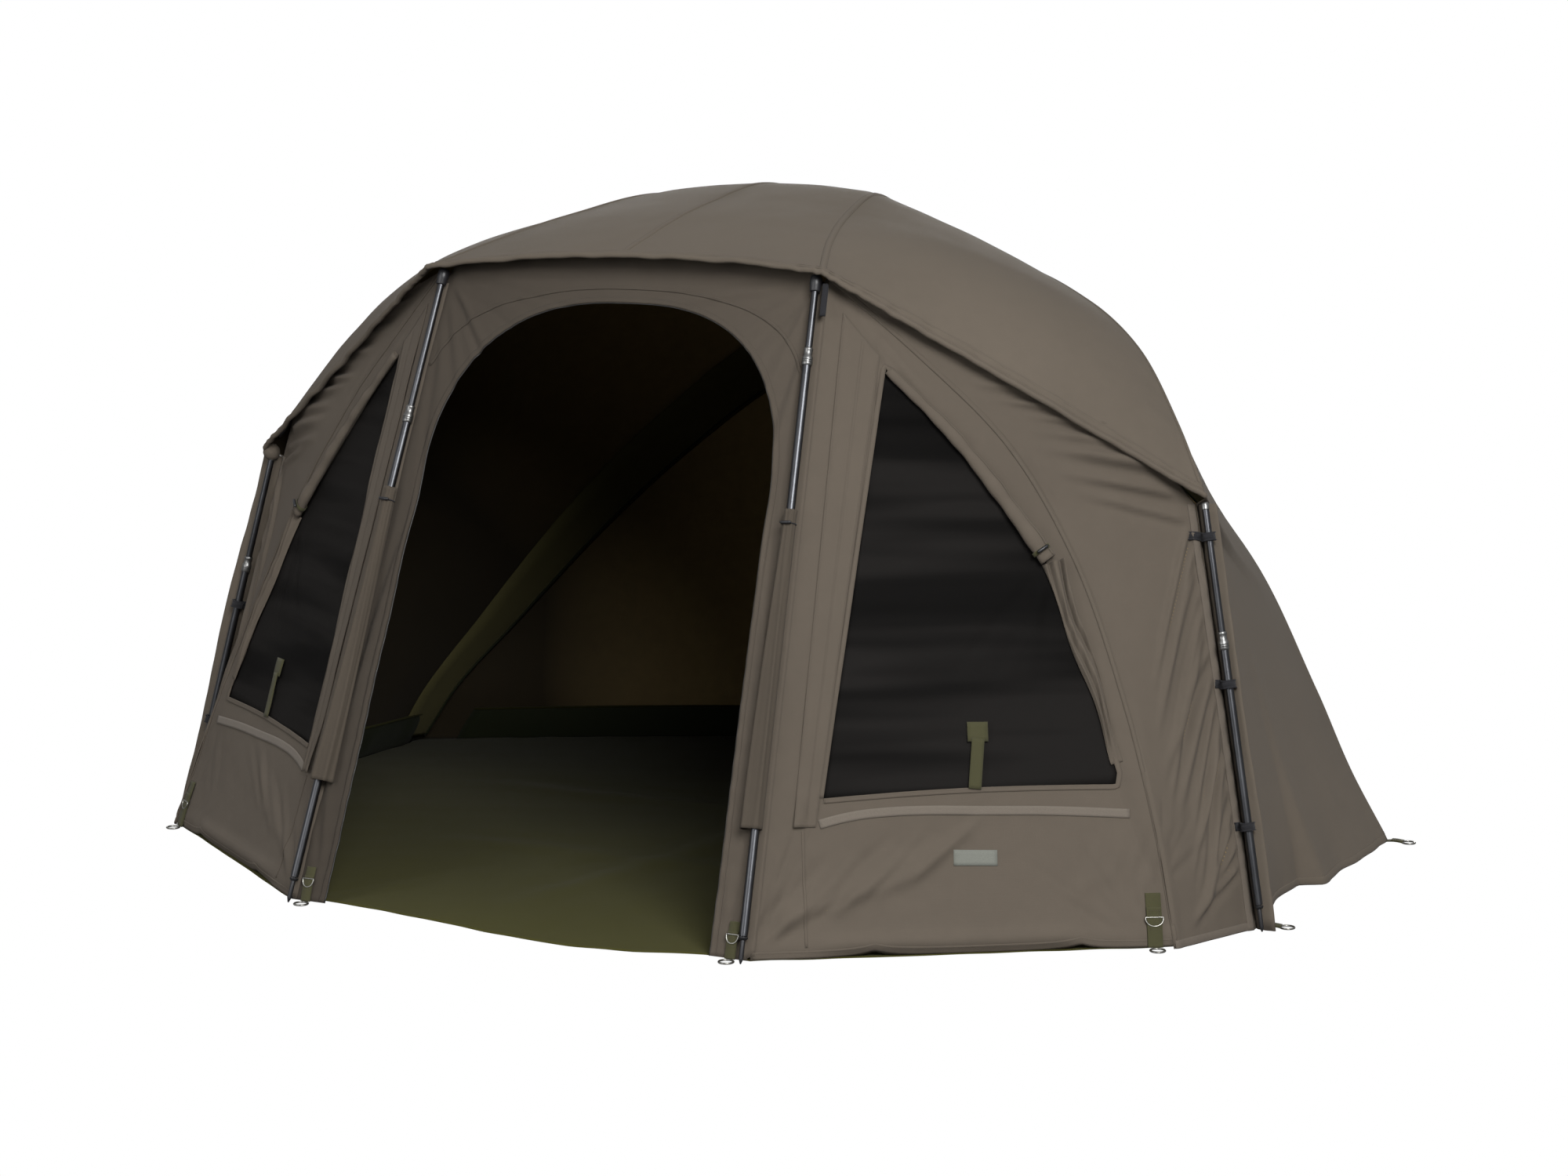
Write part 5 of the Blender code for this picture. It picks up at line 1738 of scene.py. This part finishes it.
def collar_profile(bottom, top, slim, wide, radius):
    """The clamping collar: a ring with two grooves, a waist and a lip round the upper tube."""
    ring = [(wide, bottom - 0.002), (radius - 0.0010, bottom - 0.0018), (radius, bottom - 0.0004)]
    for k in range(2):
        groove = bottom + 0.004 + 0.004 * k
        ring += [(radius, groove), (radius - 0.0008, groove + 0.0008), (radius, groove + 0.0016)]
    ring += [(radius, bottom + 0.015), (radius - 0.0020, bottom + 0.018), (radius - 0.0020, top - 0.006)]
    ring += [(radius - 0.0014, top - 0.005), (radius - 0.0014, top - 0.0014), (radius - 0.0024, top)]
    return [*ring, (slim + 0.0004, top), (slim + 0.0004, top - 0.004), (wide, top - 0.004)]


def head_profile(place, slim, length):
    """The cap on a front pole's head, or the bare end of a side pole."""
    if place == "side":
        tip = length - 0.014
        return ((slim + 0.0002, tip - 0.001), (slim + 0.0012, tip), (slim + 0.0012, length - 0.004),
                (slim - 0.0010, length - 0.0006), (0.0, length), (0.0, tip + 0.003),
                (slim + 0.0002, tip + 0.003))
    head = length - HEAD_LENGTH
    neck = HEAD_RADIUS - 0.0010
    return ((slim + 0.0002, head - 0.001), (HEAD_RADIUS - 0.0020, head), (neck, head + 0.002),
            (neck, head + 0.010), (HEAD_RADIUS, head + 0.012), (HEAD_RADIUS, length - 0.006),
            (HEAD_RADIUS * 0.8, length - 0.0015), (0.0, length), (0.0, head + 0.003),
            (slim + 0.0002, head + 0.003))


def build_pole(place, word, side, ends):
    """One storm pole: its lower tube, collar and foot slide on the upper tube."""
    foot, top = mirrored(placed(ends), side)
    axis = unit(top - foot)
    length = np.linalg.norm(top - foot)
    collar = COLLAR_HEIGHT[f"{place}_{word}"] / axis[2]
    name = f"pole_{place}_{word}"
    leg_body = f"{name}_leg"
    slim, bore, wide, ring_radius = (SHOWN_RADII[key] for key in ("upper", "bore", "lower", "collar"))
    lower = (
        (bore, collar - 0.004), (wide, collar - 0.004), (wide, FOOT_LENGTH + 0.012),
        (wide - 0.0006, FOOT_LENGTH + 0.004), (0.0, FOOT_LENGTH + 0.002), (0.0, FOOT_LENGTH + 0.008),
        (bore, FOOT_LENGTH + 0.012),
    )
    tube_piece = turned(f"{name}_lower_tube", lower, foot, axis, TUBE)
    shown(tube_piece, leg_body, [f"{name}_lower"])
    ring = collar_profile(collar - SHOWN_COLLAR_LENGTH, collar, slim, wide, ring_radius)
    shown(turned(f"{name}_collar", ring, foot, axis, BRIGHT), leg_body)
    spike = ((0.0, 0.0016), (0.0016, 0.0030), (FOOT_RADIUS, 0.012), (FOOT_RADIUS, FOOT_LENGTH - 0.004),
             (FOOT_RADIUS + 0.0022, FOOT_LENGTH - 0.003), (wide + 0.0006, FOOT_LENGTH),
             (wide + 0.0006, FOOT_LENGTH + 0.0025), (0.0, FOOT_LENGTH + 0.0025))
    shown(turned(f"{name}_foot", spike, foot, axis, STEEL), leg_body)
    start = max(collar - TUBE_OVERLAP, FOOT_LENGTH + 0.030)
    end = length - (0.012 if place == "side" else HEAD_LENGTH - 0.004)
    upper = ((0.0, start + 0.002), (slim - 0.0014, start), (slim - 0.0004, start), (slim, start + 0.001),
             (slim, end), (0.0, end))
    shown(turned(f"{name}_upper_tube", upper, foot, axis, TUBE), "shelter", [f"{name}_upper"])
    cap = turned(f"{name}_head", head_profile(place, slim, length), foot, axis, HEAD_FINISH[place])
    shown(cap, "shelter")


def front_pole_frame():
    """The right front pole's foot, head and axis, and the directions beside and in front of it."""
    foot, top = placed(FRONT_POLE)
    axis = unit(top - foot)
    aside = unit(np.array((1.0, 0, 0)) - axis * axis[0])
    forward = unit(np.cross(axis, aside))
    return foot, top, axis, aside, forward if forward[1] < 0 else -forward


def build_head_pocket():
    """The black pocket that hangs beside the right front pole's head."""
    _, top, axis, aside, forward = front_pole_frame()
    path = top - axis * np.linspace(0.020, 0.085, 14)[:, None] + aside * 0.0230 + forward * 0.002
    pocket = swept("head_pocket", path, band_profile(0.012, 0.0060), forward, BLACK_TAPE)
    shown(pocket)


def build_poles():
    build_head_pocket()
    for word, side in SIDES.items():
        build_pole("front", word, side, FRONT_POLE)
        build_pole("side", word, side, SIDE_POLE)


RIB_RADIUS = 0.004
RIB_DROP = {"front": 0.0047, "side": 0.0052, "rear": 0.0060}
RIB_TRIM = {"front": 0.024, "side": 0.022, "rear": 0.016}


def build_ribs():
    """The ribs just under the canopy's seams, each with a moulded tip."""
    for name in ("front", "side", "rear"):
        for word, side in SIDES.items():
            seam = rear_edge(side) if name == "rear" else rib_seam(name, side)
            path = seam - faced_out(seam) * RIB_DROP[name]
            keep = int(len(path) * (1 - RIB_TRIM[name] / length_along(path)))
            path = resampled(path[1:keep], 60)
            bar = tube(f"bar_{name}_{word}", path, RIB_RADIUS, STEEL, 12)
            tip = tube(f"tip_{name}_{word}", path[-3:], 0.0052, PLASTIC, 12, scale=(0.9, 1.0, 0.8))
            rib = joined(f"rib_bar_{name}_{word}", [bar, tip])
            rib.data.shade_smooth()
            shown(rib, replaces=[f"rib_{name}_{word}"])


# The sleeve's section: share of its width from the seam, and how far inside the canopy
SLEEVE_SECTION = ((-0.10, 0.013), (0.0, 0.0165), (0.12, 0.0165), (0.35, 0.013), (0.65, 0.010), (1.0, 0.007))


def build_sleeves():
    """The wide sleeves over the rear ribs, seen from inside as pale bands, each with a dark tube along it as
    painted shadow at the rib.
    """
    made = []
    for word, side in SIDES.items():
        seam = rear_edge(side)
        outs = faced_out(seam)
        inward = unit(side_skin(side)[:, -14] - seam)
        width = np.linspace(0.21, 0.12, len(seam))[:, None]
        kept = slice(6, int(len(seam) * 0.985))
        grid = np.stack([seam + inward * width * share - outs * drop for share, drop in SLEEVE_SECTION], 1)
        grid, outs = grid[kept], outs[kept]
        grid = grid - outs[:, None] * (0.0020 * ripple(grid, 0.16, 620 + side))[..., None]
        made.append(shell(f"sleeve_{word}", grid, SLEEVE, 0.0010))
        # A dark tube along the sleeve's edge at the seam: painted shadow of the gap at the rib.
        cord_and_painted_shadow = resampled(grid[:, 1] - outs * 0.002, 120)
        made.append(tube(f"sleeve_painted_shadow_{word}", cord_and_painted_shadow, 0.0035, SKIRT_AND_PAINTED_SHADOW, 8))
    sleeves = shown(joined("rib_sleeves", made))
    sleeves.data.shade_smooth()


HUB_PROFILE = (
    (0.0, -0.001), (0.030, -0.001), (0.0335, -0.0025), (0.0343, -0.005), (0.0343, -0.010),
    (0.0330, -0.0135), (0.020, -0.019), (0.0165, -0.024), (0.016, -0.030), (0.0172, -0.032),
    (0.0172, -0.038), (0.016, -0.040), (0.016, -0.058), (0.0145, -0.060), (0.0, -0.060),
)
CAP_SEAT = CLOTH + 0.0016
# The dome above its seat, then the stem down through the cloth
CAP_DOME = (
    (0.0, 0.0165), (0.010, 0.0160), (0.022, 0.0138), (0.030, 0.0112), (0.032, 0.0098), (0.034, 0.0098),
    (0.044, 0.0052), (0.048, 0.0025), (0.048, 0.0008), (0.046, 0.0), (0.012, 0.0),
)
CAP_STEM = ((0.012, -0.0004), (0.0, -0.0004))


def build_hub():
    axis = unit(HUB_AXIS)
    hub = at(*HUB)
    body = turned("hub_body", HUB_PROFILE, hub, axis, PLASTIC)
    shown(body, replaces=["hub"])
    dome = [(radius, CAP_SEAT + height) for radius, height in CAP_DOME]
    cap = turned("hub_cap_dome", (*dome, *CAP_STEM), hub, axis, PLASTIC)
    shown(cap, replaces=["hub_cap"])


# Ground: sheet, skirts, straps and rings

def hem_outline():
    """The ground line of the right half, from the front pole round to the rear middle."""
    front = placed((CORNER_LINE[0], ARC_SEAM[-1]))
    wall = drawn_in(side_skin(1, 90)[-1], 1)
    rear = rear_skin()[-1]
    return np.vstack([front, wall, rear[: len(rear) // 2 - 1 : -1]])


GROUNDSHEET_FRONT = (
    (-0.520, -0.640, 0.0),
    (-0.466, -0.632, 0.0),
    (-0.329, -0.650, 0.0),
    (-0.129, -0.682, 0.0),
    (0.028, -0.706, 0.0),
    (0.132, -0.711, 0.0),
    (0.258, -0.700, 0.0),
    (0.342, -0.678, 0.0),
    (0.440, -0.650, 0.0),
)
# Long creases across the groundsheet: start, end, width and depth
GROUND_CREASES = (
    ((-0.9, 0.05), (0.95, 0.12), 0.045, 0.005),
    ((-0.1, -1.0), (0.15, 1.0), 0.045, 0.005),
    ((-0.7, -0.5), (0.8, -0.42), 0.040, 0.004),
    ((0.55, -0.6), (0.62, 0.8), 0.040, 0.004),
)


def build_groundsheet():
    """The groundsheet, laid flat with slack ripples, right up to the foot of the walls."""
    right = hem_outline()
    front = smooth_curve(placed(GROUNDSHEET_FRONT), 40)
    outline = resampled(np.vstack([right, mirrored(right[-2::-1], -1), front, right[:1]]), 401)[:-1]
    centre = np.array((0.0, 0.1, 0.0))
    inset = unit(outline - centre) * 0.0025
    rings = []
    for share in (0.0005, *np.linspace(0.03, 0.94, 36), *np.linspace(0.955, 1.0, 5)):
        rings.append(centre + (outline - centre) * share - inset * (share > 0.9))
    grid = np.stack(rings)
    plan = grid[..., :2]
    height = 0.0016 + 0.0012 * (ripple(plan, 0.5, 71) + 1) + 0.0008 * (ripple(plan, 0.12, 72) + 1)
    grid[..., 2] = np.maximum(height + crease_height(plan, GROUND_CREASES), 0.0014)
    normals = np.broadcast_to((0.0, 0.0, 1.0), grid.shape)
    sheet = shell("groundsheet_cloth", grid, FLOOR_CLOTH, 0.0008, wrap=True, normals=normals)
    shown(sheet, replaces=["groundsheet"])


SKIRT_HEIGHT = 0.085


def skirt_face(grid, inward, seed):
    """The lowest stretch of a wall's inner face, gathered into folds and standing inside it."""
    heights = np.linspace(0.002, SKIRT_HEIGHT, 15)
    columns = []
    for k in range(grid.shape[1]):
        low = grid[:, k][::-1]
        low = low[: np.argmax(low[:, 2] > SKIRT_HEIGHT + 0.05) + 1]
        columns.append(np.stack([np.interp(heights, low[:, 2], low[:, axis]) for axis in range(3)], 1))
    face = np.stack(columns, 1)
    along = lengths_of(face)[..., 0]
    random = np.random.default_rng(seed)
    wave = sum(
        np.sin(along * 2 * math.pi / random.uniform(0.05, 0.16) + random.uniform(0, 6))
        for _ in range(4)
    ) / 4
    rise = (heights / SKIRT_HEIGHT)[:, None]
    stand = 0.007 + 0.006 * (wave + 1) * np.sin(math.pi * np.clip(rise * 0.8 + 0.15, 0, 1))
    return face + inward * stand[..., None]


def build_skirts():
    """Turned-up groundsheet folds inside the walls, with a bead along their upper edge."""
    pieces, beads = [], []
    walls = [("rear", rear_skin(), np.array((0, -1.0, 0)))]
    for word, side in SIDES.items():
        walls.append((f"side_{word}", drawn_in(side_skin(side), side), np.array((-side * 1.0, 0, 0))))
    for number, (name, grid, inward) in enumerate(walls):
        face = skirt_face(grid[:, 3:-3], inward, 400 + number)
        normals = -np.broadcast_to(inward, face.shape)
        pieces.append(shell(f"skirt_{name}", face, SKIRT_AND_PAINTED_SHADOW, 0.0009, normals=normals))
        beads.append(tube(f"bead_{name}", resampled(face[-1], 120), 0.0034, FLOOR_CLOTH, 8))
    skirt = shown(joined("mud_skirt", pieces))
    skirt.data.shade_smooth()
    bead = shown(joined("groundsheet_bead", beads))


def wire_loop(name, path, radius, material):
    """A closed wire of round section along a closed path."""
    path = np.asarray(path, float)
    tangent = unit(np.roll(path, -1, axis=0) - np.roll(path, 1, axis=0))
    third = len(path) // 3
    plane = unit(np.cross(path[third] - path[0], path[2 * len(path) // 3] - path[0]))
    side = unit(np.cross(plane, tangent))[:, None]
    section = circle(radius, 10)
    grid = path[:, None] + side * section[None, :, :1] + plane * section[None, :, 1:]
    rows, columns = grid.shape[:2]
    around = np.concatenate([grid, grid[:1]])
    faces = grid_faces(rows + 1, columns, wrap=True) % (rows * columns)
    points = grid.reshape(-1, 3)
    if volume_of(points - points.mean(0), faces) < 0:
        faces = faces[:, ::-1]
    return add_mesh(name, points, faces, material, lengths_of(around)[:-1].reshape(-1, 2))


def d_shape(centre, along, across, width, depth):
    """A D-ring's centreline: a straight bar along, and a bow on its other side."""
    bow = []
    for angle in np.linspace(0, math.pi, 28):
        bow.append(centre + along * (width / 2 * math.cos(angle)) + across * (depth * math.sin(angle) ** 0.8))
    bar = line(bow[-1], bow[0], 8)[1:-1]
    return np.vstack([bow, bar])


STRAP_THICKNESS = 0.0018


def folded_strap(name, start, end, normal, width):
    """A strap that is doubled over and sewn, slightly bowed away from what it lies on."""
    share = np.linspace(0, 1, 24)[:, None]
    bow = normal * (0.0016 * np.sin(math.pi * share) + 0.0004)
    path = start * (1 - share) + end * share + bow
    above = path[6:] + normal * (STRAP_THICKNESS + 0.0002)
    under = swept(f"{name}_under", path, band_profile(width, STRAP_THICKNESS), normal, OLIVE)
    over = swept(f"{name}_over", above, band_profile(width * 0.97, STRAP_THICKNESS), normal, OLIVE)
    return [under, over]


def box_stitches(name, centre, along, across, normal, width, height):
    corners = [(-1, -1), (1, -1), (1, 1), (-1, 1), (-1, -1), (1, 1), (1, -1), (-1, 1)]
    path = np.array([centre + across * (x * width / 2) + along * (y * height / 2) for x, y in corners])
    return stitches(name, [(path, normal)], THREAD, pitch=0.004)


def build_peg(name, start, end, normal, way, replaces, width=STRAP_WIDTH, buckle=None):
    """A webbing strap sewn round a wire ring on the ground, with a D-ring on it where asked.

    way leads from the strap's end to the ring's centre.
    """
    ring_centre = end + way
    ring_centre[2] = RING_WIRE
    along = unit(end - start)
    across = unit(np.cross(normal, along))
    level = unit((ring_centre - end) * (1, 1, 0) + 1e-9)
    aside = np.array((-level[1], level[0], 0.0))
    angle = np.linspace(0, 2 * math.pi, 36, endpoint=False)[:, None]
    ring_path = ring_centre + level * np.cos(angle) * RING_RADIUS + aside * np.sin(angle) * RING_RADIUS
    wires = [wire_loop(f"{name}_wire", ring_path, RING_WIRE * 0.8, WIRE)]
    if buckle is not None:
        spot = start + (end - start) * buckle + normal * 0.0046
        bent = d_shape(spot, across, along, width * 1.15, 0.017)
        wires.append(wire_loop(f"{name}_buckle", bent, 0.0016, WIRE))
    ring = joined(f"{name}_ring", wires)
    ring.data.shade_smooth()
    shown(ring)
    middle = (start + end) / 2 + normal * 0.0052
    height = np.linalg.norm(end - start) * 0.35
    thread = box_stitches(f"{name}_thread", middle, along, across, normal, width * 0.7, height)
    strap = folded_strap(name, start, end, normal, width)
    return shown(joined(f"{name}_strap", [*strap, thread]), replaces=replaces)


# Straps that lie on the ground: where they start, which way they run and how long they are
FLAT_STRAPS = {
    "side": ((1.2808, 0.050), (1.0, 0.10), 0.040),
    "corner": ((1.2882, 0.895), (1.0, 0.05), 0.036),
}


def build_pegs():
    """The front, middle, side and corner straps of both sides, and the rear one."""
    above = np.array((0, 0, 1.0))
    for word, side in SIDES.items():
        flat = on_door_flat([(FRONT_STRAP_X, z) for z in FRONT_STRAP_HEIGHTS]) * (side, 1)
        start, end = door_surface(flat, 0.0012)
        way = np.array((0, DOOR.z[1], 0)) * (RING_RADIUS + 0.002)
        build_peg(f"front_peg_{word}", start, end, DOOR.z, way, [f"peg_front_{word}"], buckle=0.35)
        start, end = mirrored(WINDOW.raised(on_window(MIDDLE_STRAP), CLOTH / 2 + 0.0016), side)
        out = surface_normal(side)
        way = unit(out * (1, 1, 0)) * (RING_RADIUS + 0.002)
        build_peg(f"middle_peg_{word}", start, end, out, way, [f"peg_middle_{word}"], width=0.030,
                  buckle=0.45)
        for place, (spot, run, length) in FLAT_STRAPS.items():
            start = mirrored(at(*spot, 0.0022), side)
            run = unit(np.array((side * run[0], run[1], 0.0)))
            end = start + run * length
            build_peg(f"{place}_peg_{word}", start, end, above, run * (RING_RADIUS - RING_WIRE),
                      [f"peg_{place}_{word}"])
    start = at(*REAR_SPINE[-1]) + (0, CLOTH + 0.0004, 0.0022)
    end = start + (0, 0.045, 0)
    build_peg("rear_peg", start, end, above, np.array((0, RING_RADIUS - RING_WIRE, 0)), ["peg_rear"])


# Wraps of the front poles

# Their long folds: the angle each lies at, how far it wanders, its width and its depth
WRAP_FOLDS = (
    (1.9, 0.35, 0.24, 0.0046),
    (2.6, -0.45, 0.18, -0.0022),
    (1.2, 0.3, 0.22, 0.0034),
    (0.7, -0.3, 0.20, 0.0026),
    (3.6, 0.3, 0.3, 0.0030),
    (5.0, -0.2, 0.4, 0.0016),
)
WRAP_ROWS = 90
WRAP_COLUMNS = 60
TIE_ROW = 4


def wrap_fullness(share, angle, seed):
    """How far a wrap stands off its pole: long folds that grow downwards, and pleats under its tie."""
    random = np.random.default_rng(seed)
    folds = np.zeros((WRAP_ROWS, WRAP_COLUMNS))
    for middle, drift, wide, deep in WRAP_FOLDS:
        off = angle - middle - drift * np.sin(share * 3 + random.uniform(0, 6))
        off = (off + math.pi) % (2 * math.pi) - math.pi
        folds += deep * hump(off, 0.0, wide) * (0.35 + 0.65 * share)
    tight = 0.0010 * hump(share, 0.03, 0.02)
    pleats = 0.0006 * np.sin(angle * 11 + share * 4) * np.exp(-share / 0.12)
    return np.maximum(0.0012 + folds + pleats - tight, 0.0003)


def build_wraps():
    """The fabric sleeve of each front pole: drawn in at its top, hanging wider in long folds below."""
    foot, _, axis, across, forward = front_pole_frame()
    share = np.linspace(0, 1, WRAP_ROWS)[:, None]
    height, half_width, half_depth = (
        top + (low - top) * share for low, top in (WRAP_HEIGHTS, WRAP_HALF_WIDTHS, WRAP_HALF_DEPTHS)
    )
    angle = np.linspace(0, 2 * math.pi, WRAP_COLUMNS, endpoint=False)[None, :]
    middle = foot + axis * (height / axis[2])[..., None]
    middle = middle - across * (half_width - WRAP_HALF_WIDTHS[1])[..., None]
    for word, side in SIDES.items():
        grow = wrap_fullness(share, angle, 500 + side)
        grid = (
            middle
            + across * ((half_width + grow) * np.cos(angle))[..., None]
            + forward * ((half_depth + grow) * np.sin(angle))[..., None]
        )
        outer, line_inside = mirrored(grid, side), mirrored(middle, side)
        wrap = shell(f"pole_wrap_cloth_{word}", outer, [WRAP, WRAP], 0.0009, wrap=True,
                     normals=unit(outer - line_inside))
        shown(wrap, replaces=[f"pole_wrap_{word}"])
        tie = build_wrap_tie(word, line_inside[TIE_ROW, 0], mirrored(across, side), mirrored(forward, side))


def build_wrap_tie(word, centre, way, forward):
    """The tie round a wrap's top, a thin black loop, with its toggle in front."""
    barrel = toggle(f"toggle_wrap_{word}", centre + forward * 0.0160, way, 0.012, 0.0032)
    angle = np.linspace(0, 2 * math.pi, 40)[:, None]
    loop = centre + (way * np.cos(angle) * 0.0142 + forward * np.sin(angle) * 0.0128)
    cord_and_painted_shadow = tube(f"cord_wrap_{word}", loop, 0.0013, BLACK_TAPE, 8)
    return shown(joined(f"wrap_tie_{word}", [barrel, cord_and_painted_shadow]))


# Foot hems and the loose flaps behind the side poles

# A flap's section: how far behind the seam, how far out of the cloth, and its share of the curl
FLAP_SECTION = (
    (0.034, 0.0006, 0.0), (0.018, 0.0018, 0.0), (0.010, 0.0030, 0.0), (0.007, 0.0080, 0.0),
    (0.006, 0.0160, 0.1), (0.007, 0.0260, 0.4), (0.009, 0.0350, 0.8), (0.010, 0.0420, 1.0),
    (0.012, 0.0440, 1.0), (0.014, 0.0420, 1.0), (0.014, 0.0350, 0.9),
)
FLAP_REACH = {"right": 1.0, "left": 1.45}


def build_wall_hems(panels):
    """Bound foot of the side and rear walls, and the loose flap behind each side pole."""
    made = []
    for name in ("side_left", "rear", "side_right"):
        grid = panels[name]
        up = unit(grid[-2] - grid[-1])
        out = outs_of(grid)[-1]
        made.append(band_on(f"foot_{name}", grid[-1], up, out, WALL_HEM_SECTION, CANOPY, 0.0010))
    for word in SIDES:
        grid = panels[f"side_{word}"][RIB_STEPS + JUMP_STEPS :]
        edge = grid[:, 0]
        back = unit(grid[:, 2] - edge)
        out = faced_out(edge) * FLAP_REACH[word]
        down = np.linspace(0, 1, len(edge))[:, None]
        curl = 0.012 * (0.5 + 0.5 * np.sin(down * 9 + 0.6))
        flap = np.stack([edge + back * (s + bend * curl) + out * h for s, h, bend in FLAP_SECTION], 1)
        flap[..., 2] = np.maximum(flap[..., 2], 0.0012)
        made.append(shell(f"flap_{word}", flap, CANOPY, 0.0010))
    shown(joined("wall_hems", made))


camera_and_light()
CANOPY_PIECE, PANELS = build_canopy()
build_rib_tapes(PANELS)
HEM = build_front_hem(PANELS)
build_wall_hems(PANELS)
DOOR_PIECE, DOOR_TRIM = build_door_wall()
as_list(DOOR_TRIM)
for WORD, SIDE in SIDES.items():
    build_window_wall(WORD, SIDE)
    build_side_panel(WORD, SIDE)
build_poles()
build_ribs()
build_sleeves()
build_hub()
build_groundsheet()
build_skirts()
build_wraps()
build_pegs()
